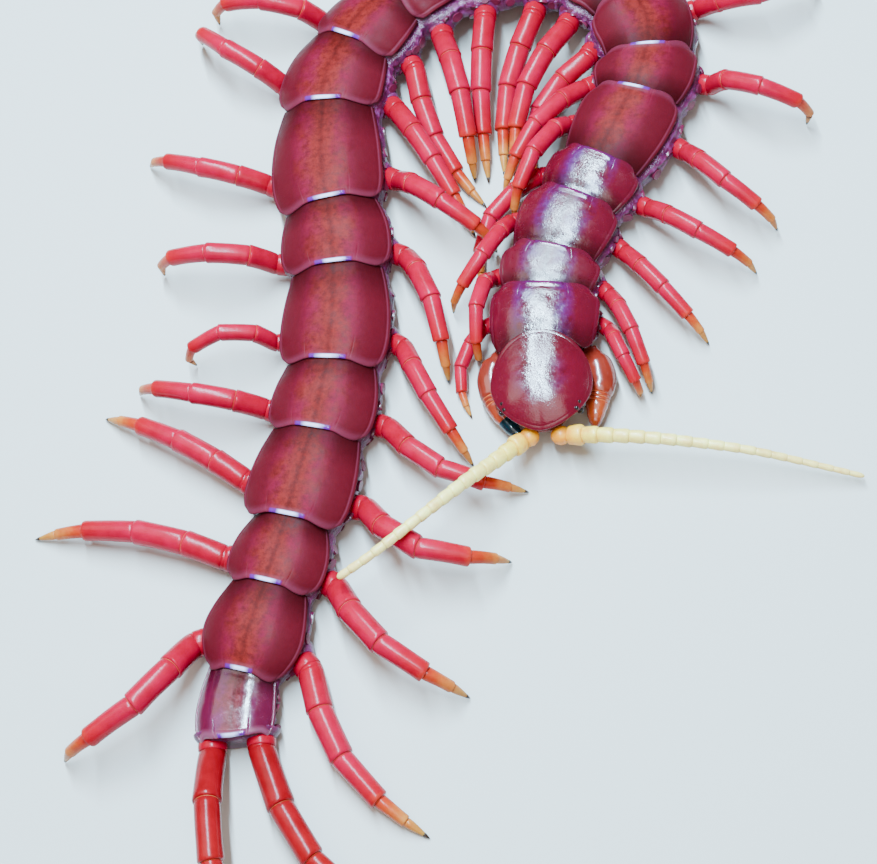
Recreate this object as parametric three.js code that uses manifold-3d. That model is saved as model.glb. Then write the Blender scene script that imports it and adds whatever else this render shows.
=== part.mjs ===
// A giant centipede lying in a tight bend, life size. Millimetres, +Z up, floor at z = 0.
// The body is laid out from the head to the tail, one segment after another, and every leg,
// feeler and mouthpart starts from the surface of the segment or head that carries it.
import * as THREE from 'three';
import { mergeVertices } from 'three/addons/utils/BufferGeometryUtils.js';
import Module from 'manifold-3d';

const wasm = await Module();
wasm.setup();

// Free space between two parts that meet face to face
const GAP = 0.3;

// The head: where the front edge of its plate stands, which way the body leaves it, and its sizes
const HEAD_FRONT = new THREE.Vector2(12.6, -3.5);
const HEAD_HEADING = 87.5;
const HEAD_LENGTH = 11.9;

// One row for each segment that carries legs, from the head to the tail: length, width of the
// back plate, turn of the body to the left on the way to the tail, tilt that lifts the animal's
// right side, and how far the left and the right flank swell out past the back plate
const SEGMENT_ROWS = [
  [6.4, 13.1, -5, 0, 0, 0],
  [5.2, 12.3, -11, -2, 0.2, 0],
  [7.6, 12.4, -11, -4, 0.4, 0],
  [5.9, 12.1, -2, -5, 0.6, 0],
  [10.2, 12.5, 9, -5, 0.8, 0],
  [6.4, 12.8, 22, -2, 0.6, 0.2],
  [8.8, 12.7, 36, 6, 0.4, 0.5],
  [7.4, 12.8, 29, 14, 0, 0.8],
  [7.0, 12.9, 23, 18, 0, 1.0],
  [9.2, 13.0, 19, 20, 0, 1.0],
  [7.2, 13.2, 18, 18, 0, 1.0],
  [8.2, 13.6, 22, 12, 0, 0.8],
  [9.4, 14.0, 28, 7, 0, 0.5],
  [14.2, 14.2, 13, 3, 0, 0.3],
  [9.0, 13.8, -5, 0, 0, 0.2],
  [12.7, 13.5, -9, 0, 0, 0.2],
  [8.9, 13.0, -7, 0, 0, 0.1],
  [11.0, 13.0, -2, 0, 0, 0],
  [8.1, 11.9, -1, 0, 0, 0],
  [10.4, 12.1, 1, 0, 0, 0],
  [7.7, 9.2, 20, 0, 0, 0],
];
const SEGMENTS = SEGMENT_ROWS.map(([length, width, turn, tilt, swellLeft, swellRight]) => (
  { length, half: width / 2, turn, tilt, swellLeft, swellRight }));

// The trunk is parted after these segments, so that no part bends far
const TRUNK_PARTS = [[1, 3], [4, 6], [7, 9], [10, 12], [13, 15], [16, 18], [19, 20], [21, 21]];

// Cross-section of the trunk, as shares of a segment's height or half width
const HEIGHT_TO_WIDTH = 0.6;
const MARGIN_HEIGHT = 0.68;
const BELLY_HALF = 0.38;
const LEG_ROOT_HEIGHT = 0.31;
const LEG_ROOT_INSET = 0.9;
const LEG_ROOT_AT = 0.64;

// Rings along one segment: share of its length, how much of the plate's narrowing towards that
// end it has, and how far the back, the flank and the belly lie in from their full size
const TRUNK_RINGS = [
  { at: 0, narrowing: 1, sink: 0.6, flank: 0.9, belly: 0.4 },
  { at: 0.2, narrowing: 0.35, sink: 0.22, flank: 0.3, belly: 0 },
  { at: 0.5, narrowing: 0, sink: 0, flank: 0, belly: 0 },
  { at: 0.8, narrowing: 0, sink: 0, flank: 0, belly: 0 },
  { at: 0.94, narrowing: 0.25, sink: 0.05, flank: 0.4, belly: 0.1 },
  { at: 1, narrowing: 1, sink: 0.18, flank: 0.9, belly: 0.4 },
];

// Share of its width that a back plate keeps at its front and rear end, and the plates near the
// tail that are rounder than the rest
const PLATE_ENDS = { front: 0.83, rear: 0.87 };
const ROUND_PLATE_ENDS = {
  19: { front: 0.74, rear: 0.84 },
  20: { front: 0.74, rear: 0.7 },
  21: { front: 0.88, rear: 0.87 },
};

// The hip of a leg: how far it stands out from the root, how deep it is set in, how far it may
// point away from straight out, and how steeply it rises
const HIP = { reach: 1.75, radius: 1.1, sunk: 0.8, mostSwing: 38, rise: 12 };

// A walking leg: the length of each article and its radius at shares of that length
const LEG_ARTICLES = [
  { length: 4.2, girth: [[0, 1.14], [0.2, 1.37], [0.92, 1.33]] },
  { length: 5.3, girth: [[0, 1.12], [0.12, 1.29], [0.93, 1.25]] },
  { length: 5.5, girth: [[0, 1.0], [0.12, 1.11], [0.93, 0.97]] },
  { length: 3.2, girth: [[0, 0.68], [0.3, 0.72]] },
  { length: 2.8, girth: [[0, 0.49], [0.68, 0.4]] },
];
const LEG_SIDES = 6;
const FOOT_RADIUS = 0.3;
const FOOT_HEIGHT = 0.25;
const LEG_THICKNESS = { least: 0.66, most: 1.1 };

// Where each foot stands, from the first pair to the twentieth: distance from the leg's root,
// how far it is swung back from straight out, and how far the leg bows on the way. Then the
// length of that pair against the pairs in the middle of the body
const LEFT_FEET = [
  [10.5, -57, 13], [14.9, -53, -9], [16.9, -26, 7], [16.7, -4, 21], [16.5, -19, 30],
  [14.3, -16, 29], [17.3, -13, 63], [18.0, 2, 0], [19.0, 4, 0], [19.1, 10, 0],
  [18.6, 20, 0], [17.3, 30, -10], [17.2, -23, -35], [19.7, -23, -20], [17.0, -9, -15],
  [12.4, 8, 26, 0.86], [19.1, -4, -18], [23.4, -15, 11], [26.5, 5, 22, 1.06],
  [21.7, 53, -50, 0.92],
];
const RIGHT_FEET = [
  [12.3, -78, 65], [11.4, -84, 22], [14.9, -74, -22], [17.5, -87, 66], [15.4, -78, 14],
  [19.3, -57, 25], [20.6, -44, 63], [21.7, -14, 32], [22.5, 2, 27], [22.6, 11, 11],
  [20.5, 18, -13], [22.1, 24, 30], [21.5, 45, -4], [17.4, 41, 17], [18.8, 73, -27],
  [19.1, 56, 13], [20.0, 16, 52], [19.7, 7, 69], [21.8, 25, 41, 0.96],
  [25.2, 39, 41, 0.93],
];
const LEG_SCALE = [
  0.56, 0.74, 0.79, 0.84, 0.86, 0.89, 0.95, 1.0, 1.02, 1.02,
  1.02, 0.99, 0.96, 0.95, 0.95, 0.90, 0.96, 1.05, 1.13, 1.22,
];

// The last pair of legs trails behind the tail
const LAST_LEG_ARTICLES = [
  { length: 7.4, girth: [[0, 1.4], [0.15, 1.55], [0.93, 1.48]] },
  { length: 6.8, girth: [[0, 1.28], [0.1, 1.42], [0.94, 1.28]] },
  { length: 5.4, girth: [[0, 1.02], [0.12, 1.1], [0.93, 0.94]] },
  { length: 3.7, girth: [[0, 0.72], [0.25, 0.78]] },
  { length: 3.6, girth: [[0, 0.56], [0.7, 0.42]] },
];
const LAST_ROOT = { at: 0.92, out: 2.75, height: 2.5, length: 1.1 };
const LAST_FEET = { left: [24.6, -7, 12], right: [26.5, 35.5, -43] };

// Feelers: the points that each passes on its way from the head, number of articles, and the
// radius at the root and near the tip
const FEELER_LEFT = {
  route: [[14.75, -3.25, 3.7], [19.3, -4.1, 4.9], [24.9, -4.9, 5.0], [30.5, -5.8, 4.6],
    [35.9, -6.8, 4.0], [41.4, -8.0, 2.8], [48.5, -9.7, 1.2]],
  articles: 19,
  tip: 0.34,
};
const FEELER_RIGHT = {
  route: [[11.15, -3.2, 3.7], [9.3, -4.9, 4.7], [6.8, -7.3, 5.8], [4.2, -9.7, 7.0],
    [-1.7, -14.9, 8.2], [-6.4, -18.4, 8.0], [-10.3, -20.6, 7.2]],
  articles: 17,
  tip: 0.5,
};
const FEELER_ROOT_RADIUS = 1.22;
const FEELER_SOCKET_RADIUS = 1.15;
const FEELER_SIDES = 6;

// Colours and finish of the horny plates, limbs and feelers
const finish = (color, roughness) => new THREE.MeshStandardMaterial({ color, roughness, metalness: 0 });
const BACK = finish(0x6d1230, 0.25);
const HEAD_HORN = finish(0x7c1428, 0.22);
const LEG_HORN = finish(0xc02a45, 0.35);
const LAST_LEG_HORN = finish(0xb8222a, 0.35);
const FEELER_HORN = finish(0xe6c67a, 0.45);
const JAW_HORN = finish(0x9a3a1c, 0.3);
const EYE_BLACK = finish(0x14100e, 0.15);

const degrees = Math.PI / 180;
const UP = new THREE.Vector3(0, 0, 1);

// Solids and meshes

function meshGeometry(points, triangles) {
  const geometry = new THREE.BufferGeometry();
  const numbers = points.flatMap((point) => point.toArray());
  geometry.setAttribute('position', new THREE.Float32BufferAttribute(numbers, 3));
  geometry.setIndex(triangles);
  return geometry;
}

function toSolid(geometry) {
  let plain = geometry.clone();
  plain.deleteAttribute('normal');
  plain.deleteAttribute('uv');
  plain = mergeVertices(plain, 1e-4);
  return new wasm.Manifold(new wasm.Mesh({
    numProp: 3,
    vertProperties: new Float32Array(plain.attributes.position.array),
    triVerts: new Uint32Array(plain.index.array),
  }));
}

function toGeometry(solid) {
  const largest = solid.decompose().reduce((a, b) => (a.volume() > b.volume() ? a : b));
  const mesh = largest.getMesh();
  const geometry = new THREE.BufferGeometry();
  geometry.setAttribute('position', new THREE.BufferAttribute(new Float32Array(mesh.vertProperties), 3));
  geometry.setIndex(new THREE.BufferAttribute(new Uint32Array(mesh.triVerts), 1));
  return geometry;
}

// A closed skin over a row of rings with the same number of points, flat at both ends
function loft(rings) {
  const sides = rings[0].length;
  const points = rings.flat();
  const triangles = [];
  for (let r = 0; r + 1 < rings.length; r += 1) {
    for (let i = 0; i < sides; i += 1) {
      const j = (i + 1) % sides;
      const a = r * sides + i;
      const b = r * sides + j;
      triangles.push(a, b, b + sides, a, b + sides, a + sides);
    }
  }
  const closeEnd = (first, flip) => {
    const ring = points.slice(first, first + sides);
    const middle = ring.reduce((sum, p) => sum.add(p), new THREE.Vector3()).divideScalar(sides);
    points.push(middle);
    for (let i = 0; i < sides; i += 1) {
      const a = first + i;
      const b = first + (i + 1) % sides;
      triangles.push(...(flip ? [a, points.length - 1, b] : [a, b, points.length - 1]));
    }
  };
  const lastRing = (rings.length - 1) * sides;
  closeEnd(0, true);
  closeEnd(lastRing, false);
  if (signedVolume(points, triangles) < 0) triangles.reverse();
  return meshGeometry(points, triangles);
}

function signedVolume(points, triangles) {
  let sum = 0;
  for (let i = 0; i < triangles.length; i += 3) {
    const [a, b, c] = [0, 1, 2].map((k) => points[triangles[i + k]]);
    sum += a.dot(new THREE.Vector3().crossVectors(b, c));
  }
  return sum / 6;
}

// A ring of points across a limb, never lower than the floor
function limbRing(centre, direction, radius, sides) {
  const side = new THREE.Vector3().crossVectors(direction, UP).normalize();
  const top = new THREE.Vector3().crossVectors(side, direction).normalize();
  return Array.from({ length: sides }, (_, i) => {
    const angle = (i * 2 * Math.PI) / sides;
    const point = centre.clone()
      .addScaledVector(side, radius * Math.cos(angle))
      .addScaledVector(top, radius * Math.sin(angle));
    point.z = Math.max(point.z, 0);
    return point;
  });
}

// The path of the body on the floor

function advance(place, distance, turn) {
  const angle = turn * degrees;
  if (Math.abs(angle) < 1e-6) {
    return {
      x: place.x + distance * Math.cos(place.heading),
      y: place.y + distance * Math.sin(place.heading),
      heading: place.heading,
    };
  }
  const radius = distance / angle;
  const heading = place.heading + angle;
  return {
    x: place.x + radius * (Math.sin(heading) - Math.sin(place.heading)),
    y: place.y - radius * (Math.cos(heading) - Math.cos(place.heading)),
    heading,
  };
}

const headFront = { x: HEAD_FRONT.x, y: HEAD_FRONT.y, heading: HEAD_HEADING * degrees };
const headRear = advance(headFront, HEAD_LENGTH, 0);
const segmentStarts = [headRear];
SEGMENTS.forEach((s) => segmentStarts.push(advance(segmentStarts.at(-1), s.length, s.turn)));

// A value of the rows that changes smoothly from the middle of one segment to the next
function between(key, index, share) {
  const place = index + share - 0.5;
  const low = Math.floor(place);
  const [a, b] = [low, low + 1].map((k) => SEGMENTS[THREE.MathUtils.clamp(k, 0, SEGMENTS.length - 1)][key]);
  return a + (b - a) * THREE.MathUtils.smoothstep(place - low, 0, 1);
}

// The frame of the body at a share of a segment: left and up are the animal's own
function bodyFrame(index, share) {
  const segment = SEGMENTS[index];
  const place = advance(segmentStarts[index], segment.length * share, segment.turn * share);
  const tilt = between('tilt', index, share) * degrees;
  const back = new THREE.Vector3(Math.cos(place.heading), Math.sin(place.heading), 0);
  const flatLeft = new THREE.Vector3().crossVectors(back, UP);
  const left = flatLeft.clone().multiplyScalar(Math.cos(tilt)).addScaledVector(UP, -Math.sin(tilt));
  const up = UP.clone().multiplyScalar(Math.cos(tilt)).addScaledVector(flatLeft, Math.sin(tilt));
  const lift = BELLY_HALF * segment.half * Math.abs(Math.sin(tilt));
  const origin = new THREE.Vector3(place.x, place.y, lift);
  return { origin, back, left, up, flatLeft };
}

function onBody(frame, left, up) {
  return frame.origin.clone().addScaledVector(frame.left, left).addScaledVector(frame.up, up);
}

// The trunk

function trunkRing(index, ring) {
  const segment = SEGMENTS[index];
  const share = ring.at;
  const frame = bodyFrame(index, share);
  if (share === 0) frame.origin.addScaledVector(frame.back, GAP / 2);
  if (share === 1) frame.origin.addScaledVector(frame.back, -GAP / 2);
  const height = segment.half * 2 * HEIGHT_TO_WIDTH;
  const top = height - ring.sink;
  const ends = ROUND_PLATE_ENDS[index + 1] ?? PLATE_ENDS;
  const plate = segment.half * (1 - ring.narrowing * (1 - (share < 0.5 ? ends.front : ends.rear)));
  const margin = height * MARGIN_HEIGHT - ring.sink * 0.5;
  const belly = segment.half * BELLY_HALF;
  const side = (swell) => {
    const flank = segment.half - 0.35 - ring.flank + between(swell, index, share);
    return [
      [plate * 0.4, top - 0.22], [plate * 0.76, top - 1.05], [plate, margin], [plate - 0.3, margin - 0.5],
      [flank, height * 0.44], [flank - 0.6, height * 0.23], [belly + 0.5, ring.belly + 0.35],
      [belly, ring.belly],
    ];
  };
  const left = side('swellLeft').map(([u, w]) => onBody(frame, u, w));
  const right = side('swellRight').map(([u, w]) => onBody(frame, -u, w));
  return [onBody(frame, 0, top), ...left, ...right.reverse()];
}

function legRoot(index, side) {
  const segment = SEGMENTS[index];
  const frame = bodyFrame(index, LEG_ROOT_AT);
  const swell = between(side > 0 ? 'swellLeft' : 'swellRight', index, LEG_ROOT_AT);
  const out = segment.half - LEG_ROOT_INSET + swell;
  return onBody(frame, side * out, segment.half * 2 * HEIGHT_TO_WIDTH * LEG_ROOT_HEIGHT);
}

// A leg's joints. Its articles rise from the root and bend down a little more at each knee, so
// that the tip meets the floor at the foot. The two unknowns are the first slope and the bend.
const BOW_SHARES = [-0.5, -0.25, 0.15, 0.4, 0.5];

function legJoints(root, foot, lengths, bow) {
  const drop = foot.z - root.z;
  const reach = Math.hypot(foot.x - root.x, foot.y - root.y);
  const walk = (slope, bend) => {
    const joints = [new THREE.Vector3()];
    lengths.forEach((length, i) => {
      const rise = (slope - bend * i) * degrees;
      const yaw = bow * BOW_SHARES[i] * degrees;
      const flat = length * Math.cos(rise);
      const step = new THREE.Vector3(flat * Math.cos(yaw), flat * Math.sin(yaw), length * Math.sin(rise));
      joints.push(joints.at(-1).clone().add(step));
    });
    return joints;
  };
  const halve = (low, high, tooLow) => {
    let [a, b] = [low, high];
    for (let i = 0; i < 40; i += 1) {
      const middle = (a + b) / 2;
      if (tooLow(middle)) a = middle; else b = middle;
    }
    return (a + b) / 2;
  };
  const slopeFor = (bend) => halve(-60, 89, (slope) => walk(slope, bend).at(-1).z < drop);
  const bend = halve(0, 45, (value) => {
    const end = walk(slopeFor(value), value).at(-1);
    return Math.hypot(end.x, end.y) > reach;
  });
  const joints = walk(slopeFor(bend), bend);
  const end = joints.at(-1);
  const turn = Math.atan2(foot.y - root.y, foot.x - root.x) - Math.atan2(end.y, end.x);
  return joints.map((joint) => joint.applyAxisAngle(UP, turn).add(root));
}

// The hip stands on the flank, and the leg's own part starts a gap further on
function legParts({ root, outward, hipLength, foot, articles, bow, scale, thickness }) {
  const hipRadius = HIP.radius * thickness;
  const hipEnd = root.clone().addScaledVector(outward, hipLength);
  const hip = loft([
    limbRing(root.clone().addScaledVector(outward, -HIP.sunk), outward, hipRadius * 1.1, LEG_SIDES),
    limbRing(hipEnd, outward, hipRadius, LEG_SIDES),
  ]);
  const start = hipEnd.clone().addScaledVector(outward, GAP);
  const lengths = articles.map((article) => article.length * scale);
  const joints = legJoints(start, foot, lengths, bow);
  const directions = lengths.map((_, i) => joints[i + 1].clone().sub(joints[i]).normalize());
  const rings = [];
  articles.forEach((article, i) => {
    article.girth.forEach(([share, radius]) => {
      const centre = joints[i].clone().addScaledVector(directions[i], lengths[i] * share);
      const before = i === 0 ? outward : directions[i - 1];
      let direction = directions[i];
      if (share === 0) direction = i === 0 ? outward : directions[i].clone().add(before).normalize();
      rings.push(limbRing(centre, direction, radius * thickness, LEG_SIDES));
    });
  });
  rings.push(footRing(joints.at(-1), directions.at(-1)));
  return { hip, leg: loft(rings) };
}

// The tip of a claw ends in a small flat on the floor
function footRing(tip, direction) {
  const side = new THREE.Vector3().crossVectors(direction, UP).normalize();
  const forward = new THREE.Vector3(direction.x, direction.y, 0).normalize();
  return Array.from({ length: LEG_SIDES }, (_, i) => {
    const angle = (i * 2 * Math.PI) / LEG_SIDES;
    const point = tip.clone()
      .addScaledVector(side, FOOT_RADIUS * Math.cos(angle))
      .addScaledVector(forward, FOOT_RADIUS * Math.sin(angle));
    point.z = 0;
    return point;
  });
}

function walkingLeg(index, side) {
  const [reach, swing, bow, shortened = 1] = (side > 0 ? LEFT_FEET : RIGHT_FEET)[index];
  const frame = bodyFrame(index, LEG_ROOT_AT);
  const out = frame.flatLeft.clone().multiplyScalar(side);
  const heading = (swung) => out.clone().multiplyScalar(Math.cos(swung * degrees))
    .addScaledVector(frame.back, Math.sin(swung * degrees));
  const root = legRoot(index, side);
  const foot = root.clone().addScaledVector(heading(swing), reach);
  foot.z = FOOT_HEIGHT;
  const hipSwing = THREE.MathUtils.clamp(swing, -HIP.mostSwing, HIP.mostSwing);
  const hipLength = HIP.reach / Math.cos(hipSwing * degrees);
  const outward = heading(hipSwing);
  outward.addScaledVector(UP, Math.tan(HIP.rise * degrees)).normalize();
  const scale = LEG_SCALE[index] * shortened;
  const thickness = THREE.MathUtils.clamp(scale, LEG_THICKNESS.least, LEG_THICKNESS.most);
  return legParts({ root, outward, hipLength, foot, articles: LEG_ARTICLES, bow, scale, thickness });
}

function lastLeg(side) {
  const index = SEGMENTS.length - 1;
  const [reach, spread, bow] = side > 0 ? LAST_FEET.left : LAST_FEET.right;
  const frame = bodyFrame(index, LAST_ROOT.at);
  const heading = frame.back.clone().multiplyScalar(Math.cos(spread * degrees))
    .addScaledVector(frame.flatLeft, side * Math.sin(spread * degrees));
  const root = onBody(frame, side * LAST_ROOT.out, LAST_ROOT.height);
  const foot = root.clone().addScaledVector(heading, reach);
  foot.z = FOOT_HEIGHT;
  return legParts({
    root,
    outward: frame.back,
    hipLength: LAST_ROOT.length,
    foot,
    articles: LAST_LEG_ARTICLES,
    bow: side * bow,
    scale: 1,
    thickness: 1,
  });
}

// The head, its feelers and its jaws, in lengths forward of the head's rear edge, to the
// animal's left, and up from the floor

const headForward = new THREE.Vector3(-Math.cos(headRear.heading), -Math.sin(headRear.heading), 0);
const headLeft = new THREE.Vector3().crossVectors(UP, headForward);

function onHead(forward, left, height) {
  return new THREE.Vector3(headRear.x, headRear.y, height)
    .addScaledVector(headForward, forward).addScaledVector(headLeft, left);
}

// Rings along the head: distance from its rear edge, half width, height of its top, height of
// its rim, and height and half width of the mouth side under it
const HEAD_RINGS = [
  [GAP / 2, 4.5, 6.9, 4.9, 4.6, 3.6],
  [1.2, 5.2, 7.4, 4.9, 4.6, 4.0],
  [3.2, 5.75, 7.7, 4.9, 4.6, 4.2],
  [5.6, 5.75, 7.6, 4.9, 4.6, 4.0],
  [7.8, 5.2, 7.15, 4.8, 4.1, 3.4],
  [9.4, 4.3, 6.6, 4.7, 3.6, 2.8],
  [10.6, 3.2, 6.1, 4.7, 3.6, 2.1],
  [11.7, 1.6, 5.6, 5.1, 5.0, 1.2],
];

function headGeometry() {
  const rings = HEAD_RINGS.map(([forward, half, top, rim, bottom, bottomHalf]) => {
    const side = [[half * 0.42, top - 0.18], [half * 0.78, top - 0.75], [half, rim + 0.5], [half, rim],
      [bottomHalf, bottom]];
    const left = side.map(([u, z]) => onHead(forward, u, z));
    const right = side.map(([u, z]) => onHead(forward, -u, z));
    return [onHead(forward, 0, top), ...left, ...right.reverse()];
  });
  return loft(rings);
}

// A feeler: its route is a smooth curve from the middle of a round socket under the front of the
// head, and each article is a little barrel on it
function feelerParts({ route, articles, tip }) {
  const curve = new THREE.CatmullRomCurve3(route.map((p) => new THREE.Vector3(...p)));
  const ringAt = (share, radius) => (
    limbRing(curve.getPointAt(share), curve.getTangentAt(share), radius, FEELER_SIDES));
  const start = (FEELER_SOCKET_RADIUS + GAP) / curve.getLength();
  const rings = [];
  for (let i = 0; i < articles; i += 1) {
    const radius = THREE.MathUtils.lerp(FEELER_ROOT_RADIUS, tip, Math.sqrt(i / (articles - 1)));
    const from = start + ((1 - start) * i) / articles;
    const length = (1 - start) / articles;
    rings.push(ringAt(from, radius * 0.8), ringAt(from + length * 0.6, radius));
  }
  rings.push(ringAt(1, tip * 0.4));
  const socket = new THREE.IcosahedronGeometry(FEELER_SOCKET_RADIUS, 1);
  socket.translate(...route[0]);
  return { socket, feeler: loft(rings) };
}

// The poison jaws: a stout curved limb on each side, on the jaw plate under the head. The left one
// is held open and points forward, the right one is closed round the front of the head. Points
// that each passes, and its radius at even shares of its length
const JAW_LEFT = {
  route: [[1.3, 5.5, 2.4], [2.6, 6.2, 2.4], [4.3, 6.45, 2.35], [6.2, 6.15, 2.2], [7.9, 5.95, 2.0],
    [9.8, 5.9, 1.8]],
  radii: [1.35, 1.85, 1.85, 1.4, 1.0, 0.25],
};
const JAW_RIGHT = {
  route: [[1.3, 5.3, 2.4], [2.9, 6.15, 2.4], [5.4, 5.95, 2.35], [8.0, 4.9, 2.2], [10.0, 3.4, 1.9],
    [11.2, 1.9, 1.7]],
  radii: [1.3, 1.75, 1.65, 1.25, 0.9, 0.25],
};
const JAW_SIDES = 8;
const JAW_STEPS = 10;
const JAW_KNUCKLE = { length: 1.1, radius: 1.1 };
const JAW_PLATE = { rear: GAP / 2, front: 6.8, half: 4.05, low: 0.5, top: 4.2 };

function jawParts({ route, radii }, side) {
  const points = route.map(([forward, out, z]) => onHead(forward, side * out, z));
  const curve = new THREE.CatmullRomCurve3(points);
  const start = GAP / curve.getLength();
  const rings = [];
  for (let i = 0; i <= JAW_STEPS; i += 1) {
    const share = THREE.MathUtils.lerp(start, 1, i / JAW_STEPS);
    const place = share * (radii.length - 1);
    const low = Math.min(Math.floor(place), radii.length - 2);
    const radius = THREE.MathUtils.lerp(radii[low], radii[low + 1], place - low);
    rings.push(limbRing(curve.getPointAt(share), curve.getTangentAt(share), radius, JAW_SIDES));
  }
  const direction = curve.getTangentAt(0);
  const knuckleEnd = points[0].clone().addScaledVector(direction, -JAW_KNUCKLE.length);
  const knuckle = loft([
    limbRing(knuckleEnd, direction, JAW_KNUCKLE.radius, JAW_SIDES),
    limbRing(points[0], direction, JAW_KNUCKLE.radius, JAW_SIDES),
  ]);
  return { jaw: loft(rings), knuckle };
}

function jawPlateGeometry() {
  const { rear, front, half, low, top } = JAW_PLATE;
  const ring = (forward, inset, rise) => [
    onHead(forward, half - inset, low + 0.6 + rise), onHead(forward, half - inset, top - 0.5 - rise),
    onHead(forward, half - inset - 0.8, top - rise), onHead(forward, -(half - inset - 0.8), top - rise),
    onHead(forward, -(half - inset), top - 0.5 - rise), onHead(forward, -(half - inset), low + 0.6 + rise),
    onHead(forward, -(half - inset - 1), low + rise), onHead(forward, half - inset - 1, low + rise),
  ];
  return loft([ring(rear, 0.3, 0.2), ring(1.4, 0, 0), ring(5.0, 0.2, 0), ring(front, 1.2, 0.6)]);
}

// Four little eyes on each side of the head, on a low mound in a pocket of its own
const EYE_PLACE = { forward: 8.9, out: 4.35, height: 5.75 };
const EYE_MOUND = { radius: 1.0, depth: 0.5 };
const EYE_POCKET_RADIUS = EYE_MOUND.radius + GAP * 1.3;
const EYE_RADIUS = 0.4;
const EYE_LENSES = [[0.4, 0.4], [-0.42, 0.36], [0.35, -0.42], [-0.4, -0.4]];
const LENS_SUNK = 0.05;

function eyeFrame(side) {
  const outward = headLeft.clone().multiplyScalar(side * 0.8).addScaledVector(headForward, 0.35)
    .addScaledVector(UP, 0.55).normalize();
  const centre = onHead(EYE_PLACE.forward, side * EYE_PLACE.out, EYE_PLACE.height);
  const turn = new THREE.Quaternion().setFromUnitVectors(new THREE.Vector3(0, 1, 0), outward);
  return { outward, centre, turn };
}

function disc(frame, radius, low, high) {
  const geometry = new THREE.CylinderGeometry(radius, radius, high - low, 12);
  geometry.translate(0, (high + low) / 2, 0);
  geometry.applyQuaternion(frame.turn);
  geometry.translate(frame.centre.x, frame.centre.y, frame.centre.z);
  return toSolid(geometry);
}

function eyeParts(side) {
  const frame = eyeFrame(side);
  let mound = disc(frame, EYE_MOUND.radius, GAP / 2, EYE_MOUND.depth);
  EYE_LENSES.forEach(([a, b]) => {
    const ball = new THREE.IcosahedronGeometry(EYE_RADIUS, 1);
    ball.translate(a, EYE_MOUND.depth - LENS_SUNK, b);
    ball.applyQuaternion(frame.turn);
    ball.translate(frame.centre.x, frame.centre.y, frame.centre.z);
    mound = mound.add(toSolid(ball));
  });
  const pocket = disc(frame, EYE_POCKET_RADIUS, -GAP / 2, 3);
  return { eye: toGeometry(mound), pocket };
}

// Everything together

const centipede = new THREE.Group();

function addPart(name, geometry, material) {
  const mesh = new THREE.Mesh(geometry, material);
  mesh.name = name;
  centipede.add(mesh);
}

const number = (n) => String(n).padStart(2, '0');
const SIDES = [['left', 1], ['right', -1]];

const feelers = { left: feelerParts(FEELER_LEFT), right: feelerParts(FEELER_RIGHT) };
const eyes = { left: eyeParts(1), right: eyeParts(-1) };
const jaws = { left: jawParts(JAW_LEFT, 1), right: jawParts(JAW_RIGHT, -1) };

const head = toSolid(headGeometry())
  .add(toSolid(feelers.left.socket)).add(toSolid(feelers.right.socket))
  .subtract(eyes.left.pocket).subtract(eyes.right.pocket);
addPart('head', toGeometry(head), HEAD_HORN);
const jawPlate = toSolid(jawPlateGeometry())
  .add(toSolid(jaws.left.knuckle)).add(toSolid(jaws.right.knuckle));
addPart('jaw_plate', toGeometry(jawPlate), JAW_HORN);
SIDES.forEach(([name]) => {
  addPart(`eye_${name}`, eyes[name].eye, EYE_BLACK);
  addPart(`feeler_${name}`, feelers[name].feeler, FEELER_HORN);
  addPart(`poison_jaw_${name}`, jaws[name].jaw, JAW_HORN);
});

const legs = [];
SIDES.forEach(([name, side]) => {
  SEGMENTS.forEach((_, index) => {
    const last = index === SEGMENTS.length - 1;
    const parts = last ? lastLeg(side) : walkingLeg(index, side);
    legs.push({ index, name: `leg_${name}_${number(index + 1)}`, last, ...parts });
  });
});
legs.forEach(({ name, leg, last }) => addPart(name, leg, last ? LAST_LEG_HORN : LEG_HORN));

TRUNK_PARTS.forEach(([first, last]) => {
  const rings = [];
  for (let n = first; n <= last; n += 1) TRUNK_RINGS.forEach((ring) => rings.push(trunkRing(n - 1, ring)));
  let trunk = toSolid(loft(rings));
  legs.filter(({ index }) => index + 1 >= first && index + 1 <= last)
    .forEach(({ hip }) => { trunk = trunk.add(toSolid(hip)); });
  const name = first === last ? `trunk_${number(first)}` : `trunk_${number(first)}_${number(last)}`;
  addPart(name, toGeometry(trunk), BACK);
});

// The origin is on the floor, under the middle of the whole animal
const box = new THREE.Box3().setFromObject(centipede);
const middle = box.getCenter(new THREE.Vector3());
centipede.position.set(-middle.x, -middle.y, -box.min.z);
centipede.updateMatrixWorld(true);

export default centipede;
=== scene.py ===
# The looks of the giant centipede: horny plates, soft flanks, legs, feelers, jaws and eyes,
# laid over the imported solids. Sizes are in millimetres until they reach a mesh.
import math

import bpy
from mathutils import Matrix, Vector, noise


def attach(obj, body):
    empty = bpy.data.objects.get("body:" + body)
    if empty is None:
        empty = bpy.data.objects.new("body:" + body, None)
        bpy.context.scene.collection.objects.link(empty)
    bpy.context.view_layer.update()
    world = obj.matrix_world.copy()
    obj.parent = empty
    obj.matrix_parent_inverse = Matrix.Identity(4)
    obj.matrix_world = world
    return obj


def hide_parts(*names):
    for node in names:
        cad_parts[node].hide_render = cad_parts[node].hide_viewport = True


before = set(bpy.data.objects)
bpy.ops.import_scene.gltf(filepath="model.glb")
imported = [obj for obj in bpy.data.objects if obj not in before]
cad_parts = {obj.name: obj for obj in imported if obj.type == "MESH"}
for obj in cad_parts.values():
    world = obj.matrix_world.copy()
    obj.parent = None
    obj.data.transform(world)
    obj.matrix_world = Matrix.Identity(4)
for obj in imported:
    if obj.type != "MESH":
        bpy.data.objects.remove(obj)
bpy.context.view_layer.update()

MM = 0.001
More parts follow.
